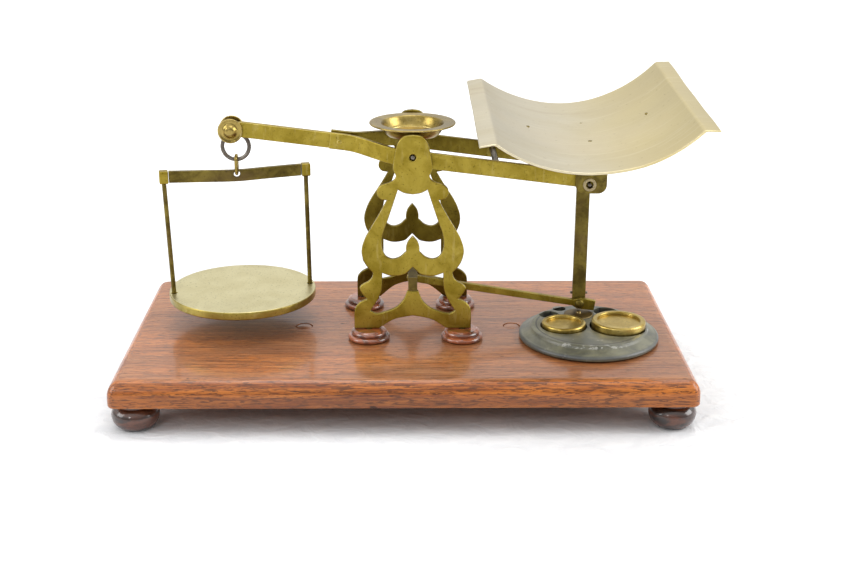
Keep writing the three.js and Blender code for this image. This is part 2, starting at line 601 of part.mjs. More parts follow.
// The check link keeps the stay upright: it runs parallel to the beam, in front of the stretcher's lug.
function buildCheckLink() {
  const link = groupAt(scale, FRAME_X, MID_Y + LINK_LAYER.y, LINK_PIVOT_Z);
  link.rotation.y = Math.atan2(-TRAY_PIVOT.z, TRAY_PIVOT.x);
  const length = Math.hypot(TRAY_PIVOT.x, TRAY_PIVOT.z);
  const outline = new THREE.Shape(vectors([[0, -2.3], [length - 4, -1.9], [length, -3.3], [length + 9.6, -3.1],
    [length + 9.6, 3.1], [length, 2.9], [length - 4, 1.9], [0, 2.3]]));
  const flat = upright(outline, LINK_LAYER.thickness);
  const eyes = [[0, 3.4], [length, 3.9]].map(([x, r]) => at(pinAlongY(r, LINK_LAYER.thickness, 20), x, 0, 0));
  const holes = [0, length].map((x) => at(pinAlongY(1.2 + GAP, 8), x, 0, 0));
  place(link, 'check_link', cut(join(flat, ...eyes), ...holes), OLD_BRASS);
  const face = -LINK_LAYER.thickness / 2 - GAP;
  const rivet = [[0, face - 1.7], [1.4, face - 1.5], [2.5, face - 0.7], [2.7, face], [1.2, face], [1.2, 4.9], [0, 4.9]];
  place(link, 'link_end_rivet', turned(rivet, 16).rotateX(-Math.PI / 2), OLD_BRASS, length, 0, 0);
}

// The block is a low turned disc with a stepped, rounded edge and six wells; three hold weights.
const BLOCK = { x: 110, y: -20, height: 7.4, wellFloor: 2.6 };
const WEIGHTS = [
  { name: 'weight_large', x: 17.4, y: -2, radius: 16, height: 8.8, lip: 3.4 },
  { name: 'weight_medium', x: -15.1, y: -1, radius: 13.15, height: 7.2, lip: 2.8 },
  { name: 'weight_small', x: -3.8, y: 19, radius: 8.8, height: 4.9, lip: 0 },
];
const EMPTY_WELLS = [
  { x: 13, y: 23, radius: 7.2 }, { x: -22, y: 18, radius: 6.2 }, { x: -14.8, y: 28.2, radius: 4.1 },
];

function buildWeights() {
  const profile = [
    [0, 0], [40.6, 0], [41.5, 0.9], [41.5, 2.4], [40.6, 3.6], [38.2, 4.7], [35.4, 5.4], [34.6, 6.6], [33.6, 7],
    [32.6, BLOCK.height], [0, BLOCK.height],
  ];
  const wells = WEIGHTS.map((w) => ({ ...w, radius: w.radius + 0.7 })).concat(EMPTY_WELLS);
  const pockets = wells.map((well) => at(pinAlongZ(well.radius, 10, 20), well.x, well.y, BLOCK.wellFloor + 5));
  const base = BOARD.top + GAP;
  place(scale, 'weight_block', cut(turned(profile, 44), ...pockets), EBONISED, BLOCK.x, BLOCK.y, base);
  for (const weight of WEIGHTS) {
    const { radius, height, lip } = weight;
    const top = lip
      ? [[radius, height - 1.6], [radius - 1, height], [radius - lip, height], [radius - lip - 0.4, height - 1.7]]
      : [[radius, height - 0.6], [radius - 0.6, height]];
    const centre = lip ? [[0, height - 1.7]] : [[1.6, height], [1.3, height + 1.3], [0, height + 1.6]];
    const outline = [[0, 0], [radius - 0.6, 0], [radius, 0.6], ...top, ...centre];
    const floor = base + BLOCK.wellFloor + GAP;
    const material = lip ? BRASS : OLD_BRASS;
    place(scale, weight.name, turned(outline, 24), material, BLOCK.x + weight.x, BLOCK.y + weight.y, floor);
  }
}

buildBoard();
buildBunFeet();
buildPillars();
buildFrames();
buildStretcher();
buildDishAndBridge();
buildBeam();
buildShackle();
buildPan();
buildCarrier();
buildTray();
buildCheckLink();
buildWeights();

export default scale;
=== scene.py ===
import json
import math

import bmesh
import bpy
from mathutils import Matrix, Vector
from mathutils.geometry import tessellate_polygon


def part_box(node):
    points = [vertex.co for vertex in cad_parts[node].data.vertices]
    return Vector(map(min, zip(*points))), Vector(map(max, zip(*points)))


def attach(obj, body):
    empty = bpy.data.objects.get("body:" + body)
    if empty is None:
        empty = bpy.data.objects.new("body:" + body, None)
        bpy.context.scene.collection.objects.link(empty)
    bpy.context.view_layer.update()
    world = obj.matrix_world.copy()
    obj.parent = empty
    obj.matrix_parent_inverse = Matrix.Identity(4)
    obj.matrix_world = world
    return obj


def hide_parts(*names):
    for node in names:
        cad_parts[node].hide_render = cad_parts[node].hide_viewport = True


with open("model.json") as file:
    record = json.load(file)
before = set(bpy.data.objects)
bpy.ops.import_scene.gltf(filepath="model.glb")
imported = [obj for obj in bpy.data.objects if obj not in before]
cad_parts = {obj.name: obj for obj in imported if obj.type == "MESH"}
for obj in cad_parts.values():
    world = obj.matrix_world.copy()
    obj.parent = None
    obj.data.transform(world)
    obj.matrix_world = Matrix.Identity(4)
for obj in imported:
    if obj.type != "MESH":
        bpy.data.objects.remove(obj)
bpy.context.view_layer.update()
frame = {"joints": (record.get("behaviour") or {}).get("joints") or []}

# ---- The camera ----
# It stands a little right of the middle line and looks down at the scale from the front,
# as one does at a thing on a desk. The angles are in degrees and the place in millimetres.
LENS = {"pitch": 19.38, "yaw": 0.87, "roll": 0.18, "focal": 57.87, "sensor": 36.0}
LENS_PLACE = Vector((0.6, -779.9, 333.0)) * 0.001

pitch, yaw, roll = (math.radians(LENS[turn]) for turn in ("pitch", "yaw", "roll"))
forward = Vector((math.sin(yaw) * math.cos(pitch), math.cos(yaw) * math.cos(pitch), -math.sin(pitch)))
level = Vector((math.cos(yaw), -math.sin(yaw), 0))
upward = level.cross(forward)
right = math.cos(roll) * level + math.sin(roll) * upward
up = math.cos(roll) * upward - math.sin(roll) * level
camera_data = bpy.data.cameras.new("camera")
camera_data.lens = LENS["focal"]
camera_data.sensor_width = LENS["sensor"]
camera_data.clip_end = 50
camera = bpy.data.objects.new("camera", camera_data)
bpy.context.scene.collection.objects.link(camera)
camera.matrix_world = Matrix.Translation(LENS_PLACE) @ Matrix((right, up, -forward)).transposed().to_4x4()
bpy.context.scene.camera = camera


# ---- The room ----
# A white sheet on a table, with faint creases, in a bright white room. Soft boxes hang over the
# table and stand at its sides; the room behind the camera is dimmer, which gives brass its tone.
class Field:
    """A quantity that varies over a surface: the output of one node."""

    def __init__(self, finish, socket):
        self.finish = finish
        self.socket = socket

    def sum(self, operation, first, second):
        return self.finish.node("ShaderNodeMath", {"operation": operation}, {0: first, 1: second})

    def __add__(self, other):
        return self.sum("ADD", self, other)

    def __sub__(self, other):
        return self.sum("SUBTRACT", self, other)

    def __mul__(self, other):
        return self.sum("MULTIPLY", self, other)

    def __radd__(self, other):
        return self.sum("ADD", other, self)

    def __rsub__(self, other):
        return self.sum("SUBTRACT", other, self)

    def __rmul__(self, other):
        return self.sum("MULTIPLY", other, self)

    def between(self, low, high, start=0.0, end=1.0):
        """start below low, end above high, and a smooth step from one to the other."""
        settings = {"interpolation_type": "SMOOTHSTEP"}
        inputs = {"Value": self, "From Min": low, "From Max": high, "To Min": start, "To Max": end}
        return self.finish.node("ShaderNodeMapRange", settings, inputs)


class Nodes:
    """The nodes that end in one shader, of a material or of the room."""

    def __init__(self, tree, shader):
        self.tree = tree
        self.shader = tree.nodes[shader]

    def node(self, kind, settings=None, inputs=None, output=0):
        node = self.tree.nodes.new(kind)
        for name, value in (settings or {}).items():
            setattr(node, name, value)
        for name, value in (inputs or {}).items():
            if isinstance(value, Field):
                self.tree.links.new(value.socket, node.inputs[name])
            else:
                node.inputs[name].default_value = value
        return Field(self, node.outputs[output])

    def feed(self, name, field):
        self.tree.links.new(field.socket, self.shader.inputs[name])

    def vector(self, operation, first, second=(0, 0, 0), output="Vector"):
        return self.node("ShaderNodeVectorMath", {"operation": operation}, {0: first, 1: second}, output)


class Finish(Nodes):
    """A material. Uniform values go straight onto the shader's sockets."""

    def __init__(self, name, **uniform):
        self.material = bpy.data.materials.new(name)
        self.material.use_nodes = True
        super().__init__(self.material.node_tree, "Principled BSDF")
        for socket, value in uniform.items():
            self.shader.inputs[socket.replace("_", " ")].default_value = value
        self.place = self.node("ShaderNodeTexCoord", output="Object")

    def along(self, axis):
        """How far a point lies along X, Y or Z, in metres."""
        return self.node("ShaderNodeSeparateXYZ", {}, {0: self.place}, axis)

    def noise(self, scale, detail=4, rough=0.55, warp=0.0, stretch=(1, 1, 1)):
        """Clouds with scale of them to a metre; stretch packs them closer along an axis."""
        spot = self.vector("MULTIPLY", self.place, tuple(scale * s for s in stretch))
        settings = {"Vector": spot, "Scale": 1.0, "Detail": detail, "Roughness": rough, "Distortion": warp}
        return self.node("ShaderNodeTexNoise", {}, settings)

    def blend(self, share, first, second):
        """The first colour, and the second one over share of it."""
        settings = {"data_type": "RGBA", "clamp_factor": True}
        first, second = (c if isinstance(c, Field) else (*c, 1) for c in (first, second))
        return self.node("ShaderNodeMix", settings, {0: share, 6: first, 7: second}, 2)

    def tint(self, share, colour):
        """Lays a colour over share of the surface's tone."""
        self.tone = self.blend(share, self.tone, colour)

    def edge_band(self, radius):
        """1 at an outer or inner edge and 0 on a flat, over a band of the radius, in millimetres."""
        rounded = self.node("ShaderNodeBevel", {"samples": 4}, {"Radius": radius * 0.001})
        flat = self.node("ShaderNodeNewGeometry", output="True Normal")
        return 1 - self.vector("DOT_PRODUCT", rounded, flat, "Value")

    def close(self, roughness, height, depth, strength):
        """Feeds the finished tone, its roughness, and a relief."""
        self.feed("Base Color", self.tone)
        self.feed("Roughness", roughness)
        self.relief(height, depth, strength)

    def relief(self, height, depth, strength=1.0):
        """Feeds the normal with a height from 0 to 1 that stands for a depth in millimetres."""
        inputs = {"Strength": strength, "Distance": depth * 0.001, "Height": height}
        self.feed("Normal", self.node("ShaderNodeBump", {}, inputs))


SHEET = Finish("white_sheet", Roughness=0.85)
creases = SHEET.noise(70, 4, 0.5, 0.8, stretch=(1, 1.3, 1))
# The sheet is greyer in the hollows of the creases: painted shade, beside the creases' relief.
SHEET.tone = SHEET.blend(creases.between(0.25, 0.8), (0.68, 0.69, 0.71), (0.77, 0.775, 0.785))
# Further from the scale the sheet turns near white: painted light, so the far backdrop reads brighter than
# the sheet round the scale.
from_scale = SHEET.vector("LENGTH", SHEET.place, output="Value")
SHEET.tint(from_scale.between(0.30, 0.6), (0.97, 0.97, 0.97))
SHEET.feed("Base Color", SHEET.tone)
SHEET.relief(creases, 2.0, 0.8)
floor_mesh = bpy.data.meshes.new("table_sheet")
floor_mesh.from_pydata([(-9, -9, 0), (9, -9, 0), (9, 9, 0), (-9, 9, 0)], [], [(0, 1, 2, 3)])
floor_mesh.materials.append(SHEET.material)
floor = bpy.data.objects.new("table_sheet", floor_mesh)
bpy.context.scene.collection.objects.link(floor)

world = bpy.data.worlds.new("white_room")
world.use_nodes = True
bpy.context.scene.world = world
sky = Nodes(world.node_tree, "Background")
sky.shader.inputs["Color"].default_value = (1.0, 0.995, 0.985, 1)
around = sky.node("ShaderNodeTexCoord", output="Generated")
overhead = sky.vector("DOT_PRODUCT", around, (0.0, 0.25, 0.97), "Value")
sky.feed("Strength", overhead.between(-0.1, 0.95, 0.33, 1.3))
bpy.context.scene.view_settings.view_transform = "Standard"


def soft_box(name, place, target, width, height, power):
    lamp = bpy.data.lights.new(name, "AREA")
    lamp.shape = "RECTANGLE"
    lamp.size = width
    lamp.size_y = height
    lamp.energy = power
    holder = bpy.data.objects.new(name, lamp)
    bpy.context.scene.collection.objects.link(holder)
    away = Vector(place) - Vector(target)
    holder.matrix_world = Matrix.Translation(place) @ away.to_track_quat("Z", "Y").to_matrix().to_4x4()


soft_box("overhead_box", (0.1, 0.25, 1.5), (0, 0, 0.05), 1.1, 0.8, 9)
soft_box("left_box", (-1.25, -0.35, 0.75), (0, 0, 0.08), 0.7, 0.8, 8)
soft_box("right_box", (1.3, -0.15, 0.7), (0, 0, 0.08), 0.8, 0.9, 12)
soft_box("small_box", (-0.55, -1.1, 0.75), (0, 0, 0.05), 0.16, 0.22, 1.6)

# ---- The base board ----
# One mahogany board with its grain along its length, waxed, and lighter and pinkish on top: partly bleached
# by light, partly painted sheen.
# A square lip runs round its foot, and a round moulding is planed from there up to the top.
MM = 0.001


def corners(node):
    """The lowest and highest corner of one of the frame's nodes, in millimetres."""
    low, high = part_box(node)
    return low / MM, high / MM


def middle(node):
    low, high = corners(node)
    return (low + high) / 2


def moved(shell, *turns):
    """The shell after the turns, the last of which is done first."""
    points, faces = shell
    whole = Matrix()
    for turn in turns:
        whole = whole @ turn
    return [whole @ Vector(point) for point in points], faces


def shift(x=0.0, y=0.0, z=0.0):
    return Matrix.Translation((x, y, z))


def spin(degrees, axis):
    return Matrix.Rotation(math.radians(degrees), 4, axis)


def piece(name, shells, finish, body, nodes, edge=0.0, steps=2, crisp=40):
    """Joins closed shells, given in millimetres, into one object that rides on a body.
    Edges sharper than crisp degrees get a rounding of edge millimetres."""
    whole = bmesh.new()
    for points, faces in shells:
        spots = [whole.verts.new(Vector(point) * MM) for point in points]
        for face in faces:
            whole.faces.new([spots[i] for i in face])
    bmesh.ops.remove_doubles(whole, verts=whole.verts, dist=2e-6)
    bmesh.ops.recalc_face_normals(whole, faces=whole.faces)
    mesh = bpy.data.meshes.new(name)
    whole.to_mesh(mesh)
    whole.free()
    mesh.shade_smooth()
    mesh.set_sharp_from_angle(angle=math.radians(crisp))
    mesh.materials.append(finish.material)
    made = bpy.data.objects.new(name, mesh)
    bpy.context.scene.collection.objects.link(made)
    if edge:
        rounding = made.modifiers.new("rounded_edges", "BEVEL")
        rounding.width = edge * MM
        rounding.segments = steps
        rounding.limit_method = "ANGLE"
        rounding.angle_limit = math.radians(crisp)
        rounding.harden_normals = False
    weights = made.modifiers.new("flat_faces", "WEIGHTED_NORMAL")
    weights.keep_sharp = True
    weights.weight = 80
    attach(made, body)
    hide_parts(*nodes)
    return made


def stacked(rings, cap_low=True, cap_high=True):
    """A shell through rings of equal counts of points, with a face over each end."""
    count = len(rings[0])
    points = [point for ring in rings for point in ring]
    faces = []
    for level in range(len(rings) - 1):
        for i in range(count):
            a, b = level * count + i, level * count + (i + 1) % count
            faces.append((a, b, b + count, a + count))
    if cap_low:
        faces.append(tuple(range(count)))
    if cap_high:
        faces.append(tuple(range(len(points) - count, len(points))))
    return points, faces


def arc(x, y, radius, start, turn, steps):
    """Points from a start angle round through a turn, both in radians."""
    angles = [start + turn * i / steps for i in range(steps + 1)]
    return [(x + radius * math.cos(angle), y + radius * math.sin(angle)) for angle in angles]


def circle(x, y, radius, sides=48):
    return arc(x, y, radius, 0, math.tau, sides)[:-1]


def sheet_with_holes(outline, holes, height):
    """A flat face at a height, round its holes."""
    loops = [[Vector((x, y, height)) for x, y in loop] for loop in (outline, *holes)]
    return [point for loop in loops for point in loop], tessellate_polygon(loops)


def pocket(x, y, radius, top, bottom, sides=48):
    """The wall and floor of a round pocket."""
    rings = [[(px, py, z) for px, py in circle(x, y, radius, sides)] for z in (top, bottom)]
    return stacked(rings, cap_low=False)


def rounded(half_width, half_height, radius, steps):
    """A rectangle with rounded corners."""
    loop = []
    for quarter, (side, end) in enumerate([(1, 1), (-1, 1), (-1, -1), (1, -1)]):
        x, y = side * (half_width - radius), end * (half_height - radius)
        loop += arc(x, y, radius, quarter * math.pi / 2, math.pi / 2, steps)
    return loop


board_low, board_high = corners("base_board")
BOARD_CORNER = 5.0
BOARD_LIP = 6.4
LIP_STEP = 0.1
MOULDING_WIDTH = 8.1
PLUG_GAP = 0.5
PLUG_DEPTH = 3


def board_outline(inset):
    """The board's outline, inset from its widest."""
    radius = max(BOARD_CORNER - inset * 0.5, 1.5)
    return rounded(board_high.x - inset, board_high.y - inset, radius, 8)


board_profile = [(1.2, 0), (0.35, 0.3), (0, 1.0), (0, BOARD_LIP * 0.6), (LIP_STEP, BOARD_LIP)]
moulding_height = board_high.z - board_low.z - BOARD_LIP
for i in range(1, 15):
    angle = i / 14 * math.pi / 2
    inset = LIP_STEP + MOULDING_WIDTH * (1 - math.cos(angle))
    board_profile.append((inset, BOARD_LIP + moulding_height * math.sin(angle)))
board_rings = [[(x, y, board_low.z + z) for x, y in board_outline(inset)] for inset, z in board_profile]
plugs = [middle("screw_plug_left"), middle("screw_plug_right")]
plug_radius = corners("screw_plug_left")[1].x - plugs[0].x + PLUG_GAP
plug_circles = [circle(plug.x, plug.y, plug_radius) for plug in plugs]
top_face = sheet_with_holes(board_outline(board_profile[-1][0]), plug_circles, board_high.z)
plug_floor = board_high.z - PLUG_DEPTH
plug_pockets = [pocket(plug.x, plug.y, plug_radius, board_high.z, plug_floor) for plug in plugs]

MAHOGANY = Finish("waxed_mahogany", Coat_Roughness=0.13, Coat_IOR=1.45, Specular_IOR_Level=0.35)
# Long flames of figure, finer grain in them, and open pores as short dark dashes.
flame = MAHOGANY.noise(7, 4, 0.6, 0.9, stretch=(1, 9, 12))
grain = MAHOGANY.noise(22, 5, 0.68, 0.4, stretch=(1, 24, 26))
fibre = MAHOGANY.noise(110, 4, 0.6, 1.2, stretch=(1, 9, 9))
pores = MAHOGANY.noise(170, 2, 0.5, stretch=(1, 11, 12)).between(0.60, 0.70)
MAHOGANY.tone = MAHOGANY.blend(flame.between(0.33, 0.66), (0.190, 0.044, 0.008), (0.52, 0.150, 0.020))
MAHOGANY.tint(grain.between(0.38, 0.7) * 0.6, (0.64, 0.215, 0.034))
MAHOGANY.tint(fibre.between(0.48, 0.60) * 0.85, (0.085, 0.025, 0.007))
# The top is lighter and pinkish, in cloudy patches and streaks along the grain: partly bleached wood, partly
# painted sheen.
normal = MAHOGANY.node("ShaderNodeNewGeometry", output="Normal")
facing_up = MAHOGANY.vector("DOT_PRODUCT", normal, (0, 0, 1), "Value").between(0.86, 0.995)
patches = MAHOGANY.noise(9, 4, 0.6, 0.5, stretch=(1, 3, 1)).between(0.3, 0.72, 0.45, 1.0)
bleached_and_sheen = MAHOGANY.blend(grain.between(0.3, 0.7), (0.165, 0.062, 0.027), (0.35, 0.170, 0.082))
MAHOGANY.tint(facing_up * patches * 0.8, bleached_and_sheen)
MAHOGANY.tint(pores * 0.75, (0.060, 0.018, 0.008))
# The square lip at the foot is coloured darker than the moulding above it.
height = MAHOGANY.along("Z")
lip = height.between((board_low.z + BOARD_LIP) * MM, (board_low.z + BOARD_LIP + 1) * MM, 1, 0)
MAHOGANY.tint(lip * 0.3, (0.150, 0.045, 0.012))
# Corners and edges are lighter, partly rubbed and partly a painted highlight, and old dents hold dark wax.
dents = MAHOGANY.noise(95, 2, 0.4).between(0.735, 0.775)
MAHOGANY.tint(dents * 0.85, (0.035, 0.012, 0.006))
lighter_edges = MAHOGANY.edge_band(1.4).between(0.02, 0.2)
MAHOGANY.tint(lighter_edges * 0.35, (0.50, 0.20, 0.075))
MAHOGANY.feed("Coat Weight", patches.between(0.2, 1.0, 0.6, 0.4) - dents * 0.4)
MAHOGANY.close(
    0.30 + grain * 0.14 + pores * 0.12,
    1 - pores * 0.5 - dents * 0.9 + grain * 0.15, 0.16, 0.7)

board_shells = [stacked(board_rings, cap_high=False), top_face, *plug_pockets]
piece("mahogany_board", board_shells, MAHOGANY, "stand", ["base_board"], crisp=30)


def turned(profile, sides=96):
    """A shell turned round the Z axis. The profile is (radius, height) from end to end."""
    points, rows, faces = [], [], []
    for radius, height in profile:
        count = sides if radius else 1
        rows.append(range(len(points), len(points) + count))
        for i in range(count):
            angle = math.tau * i / sides
            points.append((radius * math.cos(angle), radius * math.sin(angle), height))
    for low, high in zip(rows, rows[1:]):
        for i in range(sides):
            j = (i + 1) % sides
            ring = [low[i % len(low)], low[j % len(low)], high[j % len(high)], high[i % len(high)]]
            face = list(dict.fromkeys(ring))
            if len(face) > 2:
                faces.append(face)
    return points, faces


def flowing(knots, steps=6):
    """A smooth line through the knots, with steps points from each to the next."""
    line = []
    for i in range(len(knots) - 1):
        a, b = knots[max(i - 1, 0)], knots[i]
        c, d = knots[i + 1], knots[min(i + 2, len(knots) - 1)]
        for step in range(steps):
            t = step / steps
            spot = []
            for p, q, r, s in zip(a, b, c, d):
                bend, twist = 2 * p - 5 * q + 4 * r - s, 3 * q - p - 3 * r + s
                spot.append(0.5 * (2 * q + (r - p) * t + bend * t * t + twist * t ** 3))
            line.append(tuple(spot))
    line.append(tuple(knots[-1]))
    return line


# The two plugs cover the screws that hold the board's cleats. They are turned from the same wood.
for side, plug in zip(("left", "right"), plugs):
    radius = plug_radius - PLUG_GAP
    disc = turned([(0, -2.8), (radius, -2.8), (radius, -0.45), (radius - 0.4, -0.15), (0, -0.05)], 64)
    disc = moved(disc, shift(plug.x, plug.y, board_high.z))
    piece(f"wood_plug_{side}", [disc], MAHOGANY, "stand", [f"screw_plug_{side}"], crisp=50)

# ---- The bun feet ----
# Four turned buns of dark hardwood, screwed up into the board's corners and French polished.
BUN = [(8.2, 0.25), (10.6, 1.5), (12.6, 4.1), (13.5, 7.3), (13.1, 10.1), (11.4, 12.5), (9.8, 13.6)]
BUN_NECK = [(9.7, 14.2)]
bun_top = corners("bun_foot_front_left")[1].z

DARK_WOOD = Finish("polished_dark_wood", Coat_Weight=0.9, Coat_Roughness=0.09, Coat_IOR=1.5)
figure = DARK_WOOD.noise(60, 5, 0.6, 0.8, stretch=(1, 1, 3.5))
streaks = DARK_WOOD.noise(240, 3, 0.6, 0.3, stretch=(1, 1, 4))
DARK_WOOD.tone = DARK_WOOD.blend(figure.between(0.35, 0.68), (0.012, 0.004, 0.002), (0.120, 0.033, 0.012))
DARK_WOOD.tint(streaks.between(0.52, 0.7) * 0.5, (0.018, 0.006, 0.004))
# Ridges are lighter: partly worn, partly a painted highlight.
ridges = DARK_WOOD.edge_band(1.0).between(0.02, 0.25)
DARK_WOOD.tint(ridges * 0.3, (0.22, 0.075, 0.030))
DARK_WOOD.close(0.28 + figure * 0.2, streaks + figure * 0.6, 0.08, 0.5)

FOUR_CORNERS = ("front_left", "front_right", "rear_left", "rear_right")
for corner in FOUR_CORNERS:
    foot = middle(f"bun_foot_{corner}")
    bun = turned([(0, 0), *flowing(BUN, 5), *BUN_NECK, (9.7, bun_top), (0, bun_top)], 72)
    bun = moved(bun, shift(foot.x, foot.y))
    piece(f"bun_{corner}", [bun], DARK_WOOD, "stand", [f"bun_foot_{corner}"], crisp=60)

# ---- The pillars and studs ----
# Each frame stands on two small turned pillars of a polished red wood: a half-round foot, a quirk and an
# upper bead. A brass stud runs down through each, and its nut is let into the board's underside.
PILLAR_FOOT = [(11.4, 0.3), (12.1, 0.7), (12.4, 1.6), (12.0, 2.6), (11.0, 3.2), (10.2, 3.35)]
PILLAR_BEAD = [(10.2, 3.35), (9.9, 3.5), (10.4, 4.0), (10.5, 4.7), (9.9, 5.6), (8.9, 6.2), (8.5, 6.5)]

OLD_BRASS = Finish("dark_old_brass", Metallic=0.92)
clouds = OLD_BRASS.noise(85, 6, 0.62, 0.5)
blotches = OLD_BRASS.noise(24, 4, 0.6, 0.6, stretch=(1, 1, 1.4))
specks = OLD_BRASS.noise(700, 3, 0.6)
OLD_BRASS.tone = OLD_BRASS.blend(clouds.between(0.36, 0.66), (0.085, 0.060, 0.012), (0.215, 0.165, 0.034))
OLD_BRASS.tint(blotches.between(0.5, 0.72) * 0.6, (0.150, 0.100, 0.042))
OLD_BRASS.tint(specks.between(0.60, 0.70) * 0.55, (0.030, 0.022, 0.010))
# Edges are lighter: partly worn, partly a painted highlight.
bright = OLD_BRASS.edge_band(0.5).between(0.03, 0.22)
OLD_BRASS.tint(bright * 0.75, (0.44, 0.35, 0.12))
OLD_BRASS.close(0.34 + clouds * 0.22 - bright * 0.12, clouds * 0.5 + specks * 0.5, 0.07, 0.6)

RED_WOOD = Finish("polished_red_wood", Coat_Weight=1.0, Coat_Roughness=0.07, Coat_IOR=1.55)
figure = RED_WOOD.noise(90, 5, 0.6, 0.8, stretch=(1, 1, 2.5))
RED_WOOD.tone = RED_WOOD.blend(figure.between(0.36, 0.66), (0.060, 0.015, 0.007), (0.33, 0.085, 0.026))
RED_WOOD.close(0.24 + figure * 0.2, figure, 0.06, 0.5)

for corner in FOUR_CORNERS:
    low, high = corners(f"pillar_foot_{corner}")
    spot = (low + high) / 2
    bored = [(2.4, 0.3), *flowing(PILLAR_FOOT, 4), *flowing(PILLAR_BEAD, 4)[1:], (2.4, 6.5), (2.4, 0.3)]
    pillar = moved(turned(bored, 72), shift(spot.x, spot.y, board_high.z))
    piece(f"pillar_{corner}", [pillar], RED_WOOD, "stand", [f"pillar_foot_{corner}"], crisp=65)
    low, high = corners(f"frame_stud_{corner}")
    shank = [(0, low.z), (4.2, low.z), (4.2, low.z + 3), (2, low.z + 3), (2, high.z), (0, high.z)]
    stud = moved(turned(shank, 6), shift(spot.x, spot.y))
    piece(f"stud_{corner}", [stud], OLD_BRASS, "stand", [f"frame_stud_{corner}"], edge=0.25)

# ---- The lyre frames ----
# Two plates sawn and filed from 3 mm brass: scrolled sides, a crosspiece with a spike in the upper
# opening and another below, and a round head. Half outlines, in (half width, height over the floor).
LYRE = [
    [(0, 46), (11, 43.6), (20, 38)],
    [(20, 38), (34.6, 38)],
    [(34.6, 38), (34.6, 46.6)],
    [(34.6, 46.6), (34, 50.6), (31.4, 54), (27, 56.4)],
    [(27, 56.4), (29.4, 59.2), (31.2, 62.6), (30, 65), (26.2, 67.2), (24, 69.6), (23.4, 72.8)],
    [(23.4, 72.8), (27.9, 78.3), (29.9, 85.6), (28.3, 92.5), (25, 99), (19.6, 108.2), (15, 116.8)],
    [(15, 116.8), (18.6, 117.6), (20.6, 120.4), (20.2, 123.7), (18, 125.8), (13.8, 127.2)],
    [(13.8, 127.2), (10.9, 128.8), (9.7, 131.2), (11, 134.2), (11.3, 137.2), (9.9, 145.5), (8.5, 150.4),
     (5.2, 154.1), (0, 155)],
]
UPPER_OPENING = [
    [(0, 120.3), (4.8, 121.1), (8.5, 123)],
    [(8.5, 123), (13.6, 107.4), (17.4, 96.4), (18.1, 90.2), (17.5, 86.2), (15.2, 82.6), (11.6, 81.2),
     (7.6, 82.4), (4.9, 84.8)],
    [(4.9, 84.8), (3.9, 85.6)],
    [(3.9, 85.6), (3.9, 88.5), (2.7, 92), (0, 95.2)],
]
LOWER_OPENING = [
    [(0, 61.5), (3.2, 61.5)],
    [(3.2, 61.5), (4.6, 57.6), (6.5, 54.4), (11, 50.4), (20.5, 47.2), (25, 49)],
    [(25, 49), (21.2, 55), (19, 60), (18, 65), (17.9, 72.6)],
    [(17.9, 72.6), (13.6, 71), (9.4, 70.8), (5, 71.7), (3.5, 72.7)],
    [(3.5, 72.7), (0, 76.3)],
]
REAR_RISE = [
    (0, 0), (38, 0), (43, 1.5), (46, 2.6), (52, 0.8), (57, 0.5), (61.5, 0), (70, 3.2), (82, 3.1), (98, 3.8),
    (142, 0), (155, 2.8), (200, 2.8),
]
pivots = {joint["name"]: Vector(joint["pos_m"]) / MM for joint in frame["joints"] if "pos_m" in joint}
fulcrum = pivots["beam_tilt"]


def mirrored(stretches):
    half = []
    for knots in stretches:
        line = flowing(knots, 7) if len(knots) > 2 else list(knots)
        half += line[1:] if half else line
    return half + [(-x, z) for x, z in reversed(half[1:-1])]


def inset(loop, distance):
    """The loop moved to its left by a distance, with mitred corners."""
    spots = [Vector(spot) for spot in loop]
    out = []
    for i, spot in enumerate(spots):
        into = (spot - spots[i - 1]).normalized()
        on = (spots[(i + 1) % len(spots)] - spot).normalized()
        left = Vector((-into.y - on.y, into.x + on.x))
        left = left.normalized() if left.length > 1e-6 else Vector((-into.y, into.x))
        reach = distance / max(left.dot(Vector((-into.y, into.x))), 0.6)
        out.append(spot + left * reach)
    return out


def area(loop):
    return sum(a[0] * b[1] - b[0] * a[1] for a, b in zip(loop, loop[1:] + loop[:1])) / 2


def plate(outline, holes, thickness, edge, steps=3):
    """A plate drawn in X and Z, with its thickness in Y and all its edges rounded by edge."""
    loops = [outline if area(outline) > 0 else outline[::-1]]
    loops += [hole if area(hole) < 0 else hole[::-1] for hole in holes]
    levels = []
    for i in range(steps + 1):
        angle = i / steps * math.pi / 2
        levels.append((edge * (1 - math.sin(angle)), thickness / 2 - edge * (1 - math.cos(angle))))
    levels += [(back, -y) for back, y in reversed(levels)]
    points, faces, front, rear = [], [], [], []
    for loop in loops:
        count = len(loop)
        start = len(points)
        for back, y in levels:
            points += [(spot[0], y, spot[1]) for spot in inset(loop, back)]
        for level in range(len(levels) - 1):
            for i in range(count):
                a, b = start + level * count + i, start + level * count + (i + 1) % count
                faces.append((a, b, b + count, a + count))
        front += range(start, start + count)
        rear += range(len(points) - count, len(points))
    cap = [[Vector((x, z, 0)) for x, z in inset(loop, edge)] for loop in loops]
    for triangle in tessellate_polygon(cap):
        faces.append([front[i] for i in triangle])
        faces.append([rear[i] for i in reversed(triangle)])
    return points, faces


